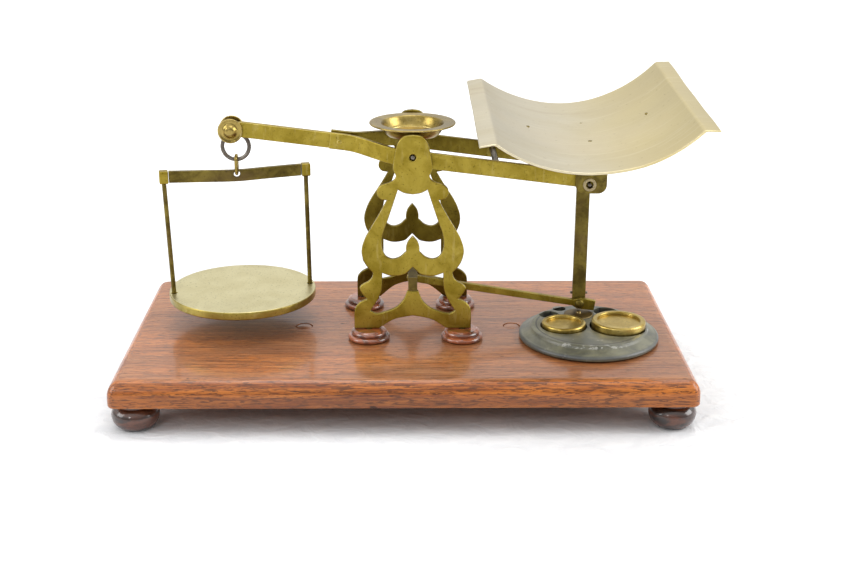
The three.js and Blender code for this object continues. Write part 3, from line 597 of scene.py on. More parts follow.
def aged_brass(name, dark, light, wear_and_highlight, rough, lines=(1, 1, 1)):
    """Brass polished often and dulled again: cloudy, fine-scratched, and bright on its edges, partly from
    wear and partly a painted highlight.
    """
    finish = Finish(name, Metallic=1.0)
    clouds = finish.noise(60, 6, 0.62, 0.6)
    blotches = finish.noise(19, 4, 0.55, 0.4)
    scratches = finish.noise(130, 3, 0.7, stretch=lines)
    specks = finish.noise(850, 3, 0.6)
    finish.tone = finish.blend(clouds.between(0.34, 0.68), dark, light)
    finish.tint(blotches.between(0.52, 0.74) * 0.45, tuple(c * 0.72 for c in dark))
    finish.tint(scratches.between(0.56, 0.72) * 0.14, wear_and_highlight)
    finish.tint(specks.between(0.60, 0.68) * 0.6, tuple(c * 0.3 for c in dark))
    # Edges are lighter: partly worn, partly a painted highlight.
    bright = finish.edge_band(0.6).between(0.02, 0.2)
    finish.tint(bright * 0.8, wear_and_highlight)
    finish.close(
        rough + clouds * 0.16 + scratches * 0.08 - bright * 0.1,
        clouds * 0.35 + scratches * 0.4 + specks * 0.25, 0.06, 0.55)
    return finish


UPRIGHT = (2, 2, 0.4)
BRASS = aged_brass(
    "aged_brass", (0.235, 0.170, 0.018), (0.40, 0.305, 0.050), (0.80, 0.68, 0.30), 0.31, UPRIGHT)
# SHADED_BRASS is a darker copy of the same brass: painted shade for the rear frame and the rear beam bar,
# which stand in shadow behind the front ones. The tray's rivets use it as well.
SHADED_BRASS = aged_brass(
    "shaded_brass", (0.115, 0.080, 0.010), (0.225, 0.170, 0.026), (0.50, 0.41, 0.15), 0.28, UPRIGHT)
PLATE_THICKNESS = 3
arbor_hole = circle(0, fulcrum.z, 1.9, 32)
REAR_HEIGHTS = [height for height, rise in REAR_RISE]


def risen(spot):
    """Lifts a point of the front frame's outline to where the rear frame has it."""
    i = next(i for i, height in enumerate(REAR_HEIGHTS) if height > spot[1]) - 1
    (low, start), (high, end) = REAR_RISE[i], REAR_RISE[i + 1]
    return spot[0], spot[1] + start + (end - start) * (spot[1] - low) / (high - low)


front_loops = [mirrored(LYRE), mirrored(UPPER_OPENING), mirrored(LOWER_OPENING), arbor_hole]
rear_loops = [[risen(spot) for spot in loop] for loop in front_loops]
for name, (outline, *holes) in (("front_frame", front_loops), ("rear_frame", rear_loops)):
    spot = middle(name)
    lyre = moved(plate(outline, holes, PLATE_THICKNESS, 0.6), shift(spot.x, spot.y))
    # The rear frame gets the darker copy: painted shade.
    finish = BRASS if name == "front_frame" else SHADED_BRASS
    piece(f"lyre_{name}", [lyre], finish, "stand", [name], crisp=50)

# ---- The stretcher and the link's pivot screw ----
# A bar across the frames, filed to drop into their lower openings, with a lug in its middle that
# carries the check link's pivot. The screw is steel.
stretcher_low, stretcher_high = corners("stretcher")
link_pivot = pivots["link_tilt"]


def block(low, high):
    """A plain rectangular shell; piece() rounds its edges."""
    foot = [(low[0], low[1]), (high[0], low[1]), (high[0], high[1]), (low[0], high[1])]
    return stacked([[(x, y, z) for x, y in foot] for z in (low[2], high[2])])


BAR_UNDER = 65
TAB_UNDER = 61.8
TAB = 3.6
BAR_WIDTH = 5.3
LUG = {"radius": 3.4, "hole": 1.5, "rise": 5}
near, far, over = stretcher_low.y, stretcher_high.y, stretcher_high.z
stretcher_side = [(near, TAB_UNDER), (near + TAB, TAB_UNDER), (near + TAB, BAR_UNDER), (far - TAB, BAR_UNDER),
                  (far - TAB, TAB_UNDER), (far, TAB_UNDER), (far, over), (near, over)]
bar = moved(plate(stretcher_side, [], BAR_WIDTH, 0.35), shift(fulcrum.x), spin(90, "Z"))
lug_loop = [(x, z) for x, z in circle(0, 0, LUG["radius"], 40) if z <= 0]
lug_loop += [(LUG["radius"], LUG["rise"]), (-LUG["radius"], LUG["rise"])]
lug = plate(lug_loop, [circle(0, 0, LUG["hole"], 24)], PLATE_THICKNESS, 0.25)
lug = moved(lug, shift(fulcrum.x, fulcrum.y, link_pivot.z))
piece("stretcher_bar", [bar, lug], OLD_BRASS, "stand", ["stretcher"], crisp=50)

STEEL = Finish("darkened_steel", Metallic=0.9)
rust = STEEL.noise(210, 5, 0.6, 0.4)
grey = STEEL.noise(60, 4, 0.6)
STEEL.tone = STEEL.blend(grey.between(0.35, 0.65), (0.10, 0.085, 0.070), (0.24, 0.215, 0.185))
STEEL.tint(rust.between(0.52, 0.68) * 0.6, (0.085, 0.045, 0.022))
polished = STEEL.edge_band(0.4).between(0.03, 0.2)
STEEL.tint(polished * 0.6, (0.55, 0.52, 0.47))
STEEL.close(0.28 + rust * 0.3 - polished * 0.1, rust, 0.05, 0.5)

screw_low, screw_high = corners("link_pivot_screw")
reach = screw_low.y - link_pivot.y
screw = turned([(0, reach), (1.5, reach + 0.15), (2.4, reach + 0.9), (2.6, reach + 1.6), (1.2, reach + 1.6),
                (1.2, screw_high.y - link_pivot.y), (0, screw_high.y - link_pivot.y)], 40)
screw = moved(screw, shift(*link_pivot), spin(-90, "X"))
piece("pivot_screw", [screw], STEEL, "stand", ["link_pivot_screw"], edge=0.12)

# ---- The bridge and the loose dish ----
# A flat brass bar joins the heads of the frames. A thin spun brass dish rests loose on it, with a
# flat floor, a steep wall and a wide flat rim.
bridge_low, bridge_high = corners("dish_bridge")
bridge = block(bridge_low, bridge_high)
piece("head_bridge", [bridge], OLD_BRASS, "stand", ["dish_bridge"], edge=0.3)

DISH_UNDER = [(0, 0), (13.2, 0), (15.4, 0.6), (17.2, 2.6), (18.6, 5.4), (20, 6.3), (24.6, 6.7)]
DISH_RIM = [(24.6, 6.7), (25.3, 6.9), (25.4, 7.3), (25.1, 7.7), (24.5, 7.8)]
DISH_OVER = [(24.5, 7.8), (19.4, 7.5), (18.1, 6.8), (16.6, 3.8), (15.2, 1.9), (13.2, 1.2), (0, 1.1)]

POLISHED = aged_brass("polished_brass", (0.22, 0.155, 0.035), (0.40, 0.30, 0.095), (0.84, 0.74, 0.42), 0.17)
dish_low = corners("centre_dish")[0]
dish = turned([*flowing(DISH_UNDER, 5), *flowing(DISH_RIM, 3)[1:], *flowing(DISH_OVER, 5)[1:]], 128)
dish = moved(dish, shift(fulcrum.x, fulcrum.y, dish_low.z))
piece("stamp_dish", [dish], POLISHED, "dish", ["centre_dish"], crisp=70)

# ---- The beam ----
# Two side bars run from the tray's pivots to a fork, where they close on the arm and are riveted.
# They are 3 mm brass on edge; the arm is thicker. A steel rod keeps the bars apart under the tray.
TILT = 7.1
BAR = {"z": -1.8, "height": 9.4, "thickness": 3.0, "left": -48.6, "splay": (-35.6, -10.3)}
ARM = {"z": -2.5, "height": 8.9, "thickness": 4.4, "right": -37.0}
SIDE_BAR_Y = 23.6
tray_pivot = pivots["tray_level"]
hang_pivot = pivots["shackle_plumb"]
on_beam = shift(*fulcrum) @ spin(TILT, "Y")
end = on_beam.inverted() @ tray_pivot
knob = on_beam.inverted() @ Vector((hang_pivot.x, fulcrum.y, hang_pivot.z))


def swept(line, profile, top, closed=False):
    """A shell of one profile along a line. The profile's second axis keeps towards top."""
    line = [Vector(spot) for spot in line]
    rings = []
    for i, spot in enumerate(line):
        before = line[i - 1] if i or closed else spot
        after = line[(i + 1) % len(line)] if closed or i < len(line) - 1 else spot
        along = (after - before).normalized()
        into = (spot - before).normalized() if before != spot else along
        side = along.cross(Vector(top)).normalized()
        rise = side.cross(along)
        stretch = 1 / max(along.dot(into), 0.7)
        rings.append([spot + side * x * stretch + rise * y for x, y in profile])
    if not closed:
        return stacked(rings)
    points, faces = stacked(rings, False, False)
    count, last = len(profile), len(points) - len(profile)
    faces += [(last + i, last + (i + 1) % count, (i + 1) % count, i) for i in range(count)]
    return points, faces


def eased(line, radius, steps=5):
    """The line with each corner eased by a curve that starts radius before it."""
    out = [Vector(line[0])]
    for before, corner, after in zip(line, line[1:], line[2:]):
        before, corner, after = Vector(before), Vector(corner), Vector(after)
        a = corner + (before - corner).normalized() * min(radius, (before - corner).length * 0.48)
        b = corner + (after - corner).normalized() * min(radius, (after - corner).length * 0.48)
        for i in range(steps + 1):
            t = i / steps
            out.append(a * (1 - t) ** 2 + corner * 2 * t * (1 - t) + b * t * t)
    return out + [Vector(line[-1])]


inner_y = ARM["thickness"] / 2 + 0.3 + BAR["thickness"] / 2
for side, sign in (("front", -1), ("rear", 1)):
    near, far = sign * inner_y, sign * SIDE_BAR_Y
    start, stop = BAR["splay"]
    line = [(BAR["left"], near, 0), (start + 1, near, 0), (stop - 1, far, 0), (end.x + 4.6, far, 0)]
    bar = swept(eased(line, 6), rounded(BAR["thickness"] / 2, BAR["height"] / 2, 0.4, 3), (0, 0, 1))
    bar = moved(bar, on_beam, shift(z=BAR["z"]))
    # The rear bar gets the darker copy: painted shade.
    finish = BRASS if side == "front" else SHADED_BRASS
    piece(f"{side}_beam_bar", [bar], finish, "beam", [f"{side}_side_bar"], edge=0.35)

# The arm swells into a round boss where the knob goes through it.
arm_low, arm_high = ARM["z"] - ARM["height"] / 2, ARM["z"] + ARM["height"] / 2
boss = [(knob.x + x, knob.z + z) for x, z in circle(0, 0, 5.7, 48)]
arm_loop = [spot for spot in boss if spot[0] < knob.x + 3.4]
cut = next(i for i in range(len(arm_loop)) if arm_loop[i - 1][1] < arm_loop[i][1] - 5)
arm_loop = arm_loop[cut:] + arm_loop[:cut]
arm_loop += [(knob.x + 5.2, arm_low), (ARM["right"], arm_low)]
arm_loop += [(ARM["right"], arm_high), (knob.x + 6.2, arm_high)]
arm = moved(plate(arm_loop, [circle(knob.x, knob.z, 1.8, 24)], ARM["thickness"], 0.45), on_beam)
piece("arm", [arm], BRASS, "beam", ["beam_arm"], crisp=50)


def pin(radius, length, edge=0.25, sides=40):
    """A pin along Y with softened ends, about its middle."""
    half = length / 2
    upper = [(radius, half - edge), (radius - edge, half), (0, half)]
    lower = [(r, -z) for r, z in reversed(upper)]
    return moved(turned(lower + upper, sides), spin(-90, "X"))


rivet_length = 2 * (inner_y + BAR["thickness"] / 2)
fork = moved(pin(1.5, rivet_length + 0.3), on_beam, shift(-43, 0, BAR["z"]))
piece("fork_pin", [fork], BRASS, "beam", ["fork_rivet"], crisp=70)
spreader = moved(pin(1.9, 2 * SIDE_BAR_Y), on_beam, shift(49.5, 0, BAR["z"]))
piece("spreader_rod", [spreader], STEEL, "beam", ["cross_rod"], crisp=70)
arbor_low, arbor_high = corners("fulcrum_arbor")
arbor = moved(pin(1.25, arbor_high.y - arbor_low.y), on_beam)
piece("arbor", [arbor], STEEL, "beam", ["fulcrum_arbor"], crisp=70)
for side in ("front", "rear"):
    low, high = corners(f"tray_pivot_pin_{side}")
    pivot_pin = moved(pin(1.25, high.y - low.y, 0.4), shift(tray_pivot.x, (low.y + high.y) / 2, tray_pivot.z))
    piece(f"pivot_pin_{side}", [pivot_pin], STEEL, "beam", [f"tray_pivot_pin_{side}"], crisp=70)

# ---- The knob ----
# Two turned brass caps on a stud through the arm's end: a dished disc with a boss in its middle.
# The shackle's eye hangs on the stud between the arm and the rear cap.
CAP_RIM = [(6.9, 0), (7.3, 0.45), (7.2, 1.2), (6.7, 1.45), (5.9, 1.2)]
CAP_BOSS = [(5.9, 1.2), (4.6, 1.1), (3.6, 1.8), (2.7, 2.8), (1.7, 3.25), (0, 3.3)]
EYE_HALF = 1.6
cap_line = flowing(CAP_RIM, 3) + flowing(CAP_BOSS, 4)[1:]
knob_face = ARM["thickness"] / 2 + 0.3
front_cap = turned([(0, 0), *cap_line], 80)
front_cap = moved(front_cap, on_beam, shift(knob.x, -knob_face, knob.z), spin(90, "X"))
piece("front_knob", [front_cap], POLISHED, "beam", ["knob_cap"], crisp=75)
rear_y = hang_pivot.y - fulcrum.y + EYE_HALF
stud_line = [(0, -ARM["thickness"] / 2), (1.5, -ARM["thickness"] / 2), (1.5, rear_y)]
rear_cap = turned([*stud_line, *((radius, rear_y + rise) for radius, rise in cap_line)], 80)
rear_cap = moved(rear_cap, on_beam, shift(knob.x, 0, knob.z), spin(-90, "X"))
piece("rear_knob", [rear_cap], POLISHED, "beam", ["knob_stud"], crisp=75)

# ---- The shackle and the hook link ----
# One steel wire is bent to a small eye round the stud and a large open ring below it.
# A closed brass link hangs in the ring and goes through the stirrup's hole.
RING = {"x": 2.1, "z": -10.75, "radius": 7.95, "wire": 1.2, "eye": 3.02, "start": 54}
EYE_TURN = 1.45 * math.pi
to_eye = math.atan2(-RING["z"], -RING["x"])
ring_turn = math.radians(RING["start"]) + math.tau - to_eye
ring_line = arc(RING["x"], RING["z"], RING["radius"], math.radians(RING["start"]), -ring_turn, 48)
eye_line = arc(0, 0, RING["eye"], to_eye + math.pi, EYE_TURN, 24)
shackle_line = [(x, 0, z) for x, z in ring_line + eye_line[1:]]
# Two passes of averaging ease the wire from the ring into the eye.
for smoothing in range(2):
    rounded_line = [shackle_line[0]]
    for a, b, c in zip(shackle_line, shackle_line[1:], shackle_line[2:]):
        rounded_line.append(tuple(0.25 * p + 0.5 * q + 0.25 * r for p, q, r in zip(a, b, c)))
    shackle_line = [*rounded_line, shackle_line[-1]]
wire = moved(swept(shackle_line, circle(0, 0, RING["wire"], 20), (0, 1, 0)), shift(*hang_pivot))
piece("shackle_wire", [wire], STEEL, "shackle_ring", ["shackle"], edge=0.4, crisp=60)

link_low, link_high = corners("hook_link")
LINK_WIRE = 0.95
half_height = (link_high.z - link_low.z) / 2 - LINK_WIRE
half_width = (link_high.y - link_low.y) / 2 - LINK_WIRE
link_line = []
for i in range(48):
    angle = math.tau * i / 48
    stretch = half_height - half_width if math.sin(angle) > 0 else half_width - half_height
    link_line.append((0, half_width * math.cos(angle), half_width * math.sin(angle) + stretch))
oval = swept(link_line, circle(0, 0, LINK_WIRE, 18), (1, 0, 0), closed=True)
oval = moved(oval, shift(*((link_low + link_high) / 2)))
piece("oval_link", [oval], POLISHED, "hook", ["hook_link"], crisp=75)

# ---- The pan ----
# A flat brass stirrup, bent a little at its hole, with a square cap soldered on each end. Two rods
# go down from the caps through the round load plate. The whole pan hangs twisted on its link.
PAN = {"turn": 12.5, "barX": -0.9, "half": 44.8, "height": 7.0, "sag": 1.4, "plateX": 0.6, "rodX": 41.5}
CAP_SIZE = {"length": 5.3, "depth": 5.5, "height": 7.6}
ROD = 1.35
bar_z = middle("stirrup_cap_left").z
plate_low, plate_high = corners("load_plate")
plate_radius = (plate_high.x - plate_low.x) / 2
on_pan = shift(hang_pivot.x + RING["x"], hang_pivot.y, 0) @ spin(PAN["turn"], "Z")

half = PAN["height"] / 2
inner = PAN["half"] - CAP_SIZE["length"] - 0.3
hole_x = -PAN["barX"]
sag = PAN["sag"]
sagging = [(-inner, 0), (-inner * 0.5, -sag * 0.52), (hole_x, -sag), (inner * 0.5, -sag * 0.5), (inner, 0)]
sagging = flowing(sagging, 5)
stirrup_loop = [(x, z - half) for x, z in sagging] + [(x, z + half) for x, z in reversed(sagging)]
hole_z = corners("hook_link")[0].z + LINK_WIRE - 0.1 - bar_z
stirrup = plate(stirrup_loop, [circle(hole_x, hole_z, 1.9, 32)], PLATE_THICKNESS, 0.4)
stirrup = moved(stirrup, on_pan, shift(PAN["barX"], 0, bar_z))
piece("stirrup", [stirrup], OLD_BRASS, "pan", ["stirrup_bar"], crisp=50)

PALE_BRASS = aged_brass(
    "pale_brass", (0.575, 0.515, 0.280), (0.635, 0.580, 0.345), (0.80, 0.75, 0.52), 0.25,
    (0.4, 3, 3))
PLATE_EDGE = aged_brass(
    "plate_edge_brass", (0.26, 0.20, 0.040), (0.42, 0.33, 0.085), (0.80, 0.70, 0.36), 0.22)
rod_holes = [circle(side * PAN["rodX"], 0, ROD + 0.3, 24) for side in (-1, 1)]
load_disc = plate(circle(0, 0, plate_radius, 160), rod_holes, plate_high.z - plate_low.z, 0.7, 3)
plate_middle = (plate_low.z + plate_high.z) / 2
load_disc = moved(load_disc, on_pan, shift(PAN["plateX"], 0, plate_middle), spin(90, "X"))
load_plate = piece("round_plate", [load_disc], PALE_BRASS, "pan", ["load_plate"], crisp=50)
load_plate.data.materials.append(PLATE_EDGE.material)
for face in load_plate.data.polygons:
    face.material_index = 0 if face.normal.z > 0.75 else 1

for name, side in (("left", -1), ("right", 1)):
    x = PAN["barX"] + side * (PAN["half"] - CAP_SIZE["length"] / 2)
    lengths = (CAP_SIZE["length"] / 2, CAP_SIZE["depth"] / 2, CAP_SIZE["height"] / 2)
    socket = moved(block([-l for l in lengths], lengths), on_pan, shift(x, 0, bar_z))
    replaced = [f"stirrup_cap_{name}"]
    piece(f"stirrup_socket_{name}", [socket], BRASS, "pan", replaced, edge=0.7, steps=3)
    top = Vector((x, 0, bar_z - CAP_SIZE["height"] / 2 - 0.3))
    foot = Vector((PAN["plateX"] + side * PAN["rodX"], 0, plate_low.z + 0.1))
    rod_line = [top.lerp(foot, i / 4) for i in range(5)]
    rod = moved(swept(rod_line, circle(0, 0, ROD, 24), (0, 1, 0)), on_pan)
    replaced = [f"stirrup_rod_{name}"]
    piece(f"pan_rod_{name}", [rod], OLD_BRASS, "pan", replaced, edge=0.25, crisp=60)

# ---- The tray's carrier and stay ---- A strap is bent down at both ends into cheeks, each with a
# bushed hole for its pivot pin.
TRAY_PITCH = 2.0
CHEEK = {"left": -8.0, "right": 10.0, "bottom": -5.2, "y": 26.6, "thickness": 2.4, "top": 21.9}
CHEEK_CORNER = 5.0
BEND = 3.4
on_pivot = shift(tray_pivot.x, tray_pivot.y, tray_pivot.z)
slope = math.tan(math.radians(TRAY_PITCH))
width = CHEEK["right"] - CHEEK["left"]
cheek_loop = [(CHEEK["left"], CHEEK["top"] - BEND)]
for x, turn in ((CHEEK["left"] + CHEEK_CORNER, math.pi), (CHEEK["right"] - CHEEK_CORNER, 1.5 * math.pi)):
    cheek_loop += arc(x, CHEEK["bottom"] + CHEEK_CORNER, CHEEK_CORNER, turn, math.pi / 2, 8)
cheek_loop.append((CHEEK["right"], CHEEK["top"] - BEND))
carrier_shells = []
for side in (-1, 1):
    cheek = plate(cheek_loop, [circle(0, 0, 2.1, 32)], CHEEK["thickness"], 0.3)
    carrier_shells.append(moved(cheek, on_pivot, shift(y=side * CHEEK["y"])))
reach_y = CHEEK["y"]
top_z = CHEEK["top"] - CHEEK["thickness"] / 2
end_z = CHEEK["top"] - BEND - 0.2
strap_line = [(0, -reach_y, end_z), (0, -reach_y, top_z - reach_y * slope),
              (0, reach_y, top_z + reach_y * slope), (0, reach_y, end_z)]
strap_line = eased(strap_line, BEND, 6)
strap = swept(strap_line, rounded(CHEEK["thickness"] / 2, width / 2, 0.3, 3), (1, 0, 0))
carrier_shells.append(moved(strap, on_pivot, shift(x=(CHEEK["left"] + CHEEK["right"]) / 2)))
piece("tray_yoke", carrier_shells, OLD_BRASS, "tray_stay", ["tray_carrier"], crisp=50)

# The bushes are pale collars pressed into the cheeks.
BUSH = aged_brass("bush_brass", (0.30, 0.24, 0.13), (0.42, 0.35, 0.21), (0.66, 0.58, 0.38), 0.3)
COLLAR = [
    (2.1, -1.2), (3.7, -1.2), (3.9, -1.0), (3.9, 1.25), (3.6, 1.45), (2.4, 1.45), (2.1, 1.2), (2.1, -1.2),
]
for name, side in (("front", -1), ("rear", 1)):
    collar = moved(turned(COLLAR, 48), on_pivot, shift(y=side * CHEEK["y"]), spin(90 * -side, "X"))
    piece(f"bush_{name}", [collar], BUSH, "tray_stay", [], crisp=60)

STAY_HALF = 4
FOOT_RADIUS = 3.8
stay_top = corners("stay")[1].z
foot_z = link_pivot.z + tray_pivot.z - fulcrum.z
foot_arc = arc(0, foot_z, FOOT_RADIUS, math.pi, math.pi, 16)
stay_loop = [(-STAY_HALF, foot_z), *foot_arc, (STAY_HALF, foot_z)]
stay_loop += [(STAY_HALF, stay_top), (-STAY_HALF, stay_top)]
stay = plate(stay_loop, [circle(0, foot_z, 1.7, 24)], PLATE_THICKNESS, 0.3)
stay = moved(stay, shift(tray_pivot.x, tray_pivot.y))
piece("stay_bar", [stay], OLD_BRASS, "tray_stay", ["stay"], crisp=50)
cross = middle("stay_cross_pin")
cross_pin = moved(pin(0.75, 10.6, 0.3, 24), shift(*cross), spin(90, "Z"))
piece("stay_pin", [cross_pin], STEEL, "tray_stay", ["stay_cross_pin"], crisp=70)

# ---- The letter tray ----
# Sheet brass 1.3 mm thick, rolled to a trough, with a lip folded out along each side. It is pale and
# satin from rubbing, paler to the left and yellower to the right in painted reflection, has faint brown
# marks inside, and four rivets hold it to its straps.
TRAY = {"radius": 84.4, "chord": 110.0, "tilt": 4.5, "thickness": 1.3, "length": 154.0, "middle": -8.3}
TRAY_BOTTOM = (-8.5, 23.9)
LIPS = {"left": (8.4, 190), "right": (8.2, -1)}
FOLD_RADIUS = 1.3
outer = TRAY["radius"] + TRAY["thickness"]
half_turn = math.asin(TRAY["chord"] / 2 / TRAY["radius"])
first = math.radians(TRAY["tilt"]) - math.pi / 2 - half_turn


def tray_line(radius):
    """One side of the sheet, from the left lip's edge through the trough to the right lip's."""
    line = arc(0, 0, radius, first, 2 * half_turn, 48)
    for spot, (wide, angle), place in ((line[0], LIPS["left"], 0), (line[-1], LIPS["right"], len(line) + 1)):
        lip = (spot[0] + wide * math.cos(math.radians(angle)), spot[1] + wide * math.sin(math.radians(angle)))
        line.insert(place, lip)
    return [tuple(spot) for spot in eased(line, FOLD_RADIUS, 3)]


on_tray = on_pivot @ shift(TRAY_BOTTOM[0], 0, TRAY_BOTTOM[1]) @ spin(TRAY_PITCH, "X")
over, under = tray_line(TRAY["radius"]), tray_line(outer)
tray_rings = []
rows = 40
for row in range(rows + 1):
    y = TRAY["middle"] + TRAY["length"] * (row / rows - 0.5)
    ring = []
    for line in (under, over[::-1]):
        for x, z in line:
            twist = 0.00035 * max(x, 0) * (y - TRAY["middle"]) * min(max(x, 0) / 30, 1)
            wave = 0.25 * math.sin(x * 0.07 + y * 0.045) + 0.15 * math.sin(y * 0.11 - x * 0.05)
            ring.append((x, y, z + outer + twist + wave * min(abs(x) / 40, 1)))
    tray_rings.append(ring)
points, faces = stacked(tray_rings, False, False)
count = len(tray_rings[0])
side_count = len(under)
for base in (0, rows * count):
    for i in range(side_count - 1):
        faces.append((base + i, base + i + 1, base + count - 2 - i, base + count - 1 - i))
TRAY_BRASS = Finish("satin_tray_brass", Metallic=1.0)
clouds = TRAY_BRASS.noise(26, 5, 0.6, 0.5)
haze = TRAY_BRASS.noise(9, 3, 0.5, 0.3)
rubbing = TRAY_BRASS.noise(120, 3, 0.65, stretch=(0.15, 3, 0.15))
specks = TRAY_BRASS.noise(420, 3, 0.5)
across = TRAY_BRASS.along("X") + haze * 0.06
# Paler towards the left and yellower towards the right: a painted reflection gradient.
reflection_zones = TRAY_BRASS.blend(across.between(0.105, 0.165), (0.620, 0.560, 0.405), (0.590, 0.495, 0.245))
TRAY_BRASS.tone = TRAY_BRASS.blend(clouds.between(0.34, 0.68) * 0.35, reflection_zones, (0.50, 0.415, 0.225))
TRAY_BRASS.tint(haze.between(0.42, 0.68) * 0.35, (0.74, 0.655, 0.50))
TRAY_BRASS.tint(rubbing.between(0.52, 0.7) * 0.2, (0.84, 0.78, 0.60))
TRAY_BRASS.tint(specks.between(0.66, 0.74) * 0.35, (0.22, 0.15, 0.06))
# Two brown arcs cross the trough near its rear edge.
along_y = TRAY_BRASS.along("Y")
wander = TRAY_BRASS.noise(14, 3, 0.5, stretch=(1, 0.2, 0.2)) * 0.014
reach = along_y + wander
brown_arcs = reach.between(0.050, 0.055) - reach.between(0.055, 0.059)
brown_arcs = brown_arcs + reach.between(0.040, 0.043) * 0.6 - reach.between(0.043, 0.047) * 0.6
left_side = across.between(0.14, 0.17, 1, 0.15)
TRAY_BRASS.tint(brown_arcs * left_side * haze.between(0.35, 0.6) * 0.6, (0.36, 0.25, 0.115))
# Edges and folds are lighter: partly worn, partly a painted highlight.
bright = TRAY_BRASS.edge_band(0.7).between(0.02, 0.2)
TRAY_BRASS.tint(bright * 0.3, (0.88, 0.82, 0.60))
TRAY_BRASS.close(
    0.20 + clouds * 0.12 + rubbing * 0.06 + specks * 0.05,
    clouds * 0.5 + rubbing * 0.3 + specks * 0.2, 0.06, 0.45)
tray = moved((points, faces), on_tray)
piece("curved_tray", [tray], TRAY_BRASS, "tray_stay", ["letter_tray"], edge=0.3, crisp=55)

# A second strap lies across under the tray, bent to its curve.
STRAP = {"y": -4.4, "width": 16.0, "reach": 40.0, "thickness": 1.2}
strap_radius = outer + 0.3 + STRAP["thickness"] / 2
middle_turn = -math.pi / 2 - TRAY_BOTTOM[0] / strap_radius
strap_half = STRAP["reach"] / strap_radius
strap_arc = arc(0, outer, strap_radius, middle_turn - strap_half, 2 * strap_half, 32)
strap_line = [(x, STRAP["y"], z) for x, z in strap_arc]
cross_strap = swept(strap_line, rounded(STRAP["width"] / 2, STRAP["thickness"] / 2, 0.3, 3), (0, 0, 1))
cross_strap = moved(cross_strap, on_tray)
piece("cross_strap", [cross_strap], OLD_BRASS, "tray_stay", ["tray_strap"], crisp=50)

# The rivets are filed flush with the tray's face, so each shows as a faint ring.
for name in ("left", "right", "front", "rear"):
    low, high = corners(f"tray_rivet_{name}")
    spot = (low + high) / 2
    length = high.z - low.z - 0.1
    head = [(1.5, length / 2 - 0.1), (1.2, length / 2 + 0.05), (0, length / 2 + 0.1)]
    rivet = turned([(0, -length / 2), (1.5, -length / 2), *head], 32)
    rivet = moved(rivet, shift(*spot), spin(TRAY_PITCH, "X"))
    piece(f"rivet_{name}", [rivet], SHADED_BRASS, "tray_stay", [f"tray_rivet_{name}"], crisp=60)

# ---- The check link ----
# A slender flat bar with a round eye on the stretcher's screw and a squared end past the stay's foot.
# The domed rivet through both is peened over.
LINK_EYE = 3.4
TAIL = 9.6
slant = math.degrees(math.atan2(fulcrum.z - tray_pivot.z, tray_pivot.x - fulcrum.x))
link_length = math.hypot(fulcrum.z - tray_pivot.z, tray_pivot.x - fulcrum.x)
on_link = shift(*link_pivot) @ spin(slant, "Y")
eye_arc = arc(0, 0, LINK_EYE, math.radians(45), math.radians(270), 20)
link_loop = [*eye_arc, (3.6, -2.15), (link_length - 4, -1.9), (link_length - 1, -3.4),
             (link_length + TAIL, -3.1), (link_length + TAIL, 3.1),
             (link_length + 1, 3.6), (link_length - 4, 1.9), (3.6, 2.15)]
link_holes = [circle(x, 0, 1.5, 24) for x in (0, link_length)]
flat_link = moved(plate(link_loop, link_holes, PLATE_THICKNESS, 0.3), on_link)
piece("check_bar", [flat_link], BRASS, "link", ["check_link"], crisp=50)
DOME = [(0, -3.5), (1.2, -3.35), (2.2, -2.85), (2.7, -2.1), (2.7, -1.8)]
dome = turned([*flowing(DOME, 4), (1.2, -1.8), (1.2, 4.9), (0, 4.9)], 40)
dome = moved(dome, on_link, shift(x=link_length), spin(-90, "X"))
piece("peened_rivet", [dome], OLD_BRASS, "link", ["link_end_rivet"], crisp=70)

# ---- The weight block ----
# A low disc turned from ebonised wood, rounded over and undercut at its foot, with an incised ring
# near the edge of its flat top and six wells bored in it. Its black has worn to a grey-green.
BLOCK_EDGE = [
    (40.1, 0), (41.1, 0.5), (41.5, 1.4), (41.3, 2.5), (40.3, 3.4), (39.2, 3.7), (37.2, 4.7), (35.5, 5.5),
    (34.8, 6.3), (34.4, 7.0), (33.6, 7.4),
]
WELL_FLOOR = 2.6
block_low, block_high = corners("weight_block")
block_spot = (block_low + block_high) / 2
well_floor = block_low.z + WELL_FLOOR
loose = {name: middle(name) for name in ("weight_large", "weight_medium", "weight_small")}
WELLS = [(loose["weight_large"], 17.2), (loose["weight_medium"], 13.95), (loose["weight_small"], 8.95)]
EMPTY = [((13, 23), 7.2), ((-22, 18), 6.1), ((-14.8, 28.2), 4.1)]
wells = [(spot.x - block_spot.x, spot.y - block_spot.y, radius) for spot, radius in WELLS]
wells += [(x, y, radius) for (x, y), radius in EMPTY]
edge_line = flowing(BLOCK_EDGE, 4)
block_rings = [[(x, y, block_low.z + z) for x, y in circle(0, 0, radius, 128)] for radius, z in edge_line]
block_shells = [stacked(block_rings, cap_high=False)]
flat_top = circle(0, 0, edge_line[-1][0], 128)
block_shells.append(sheet_with_holes(flat_top, [circle(*well) for well in wells], block_high.z))
block_shells += [pocket(*well, block_high.z, well_floor) for well in wells]

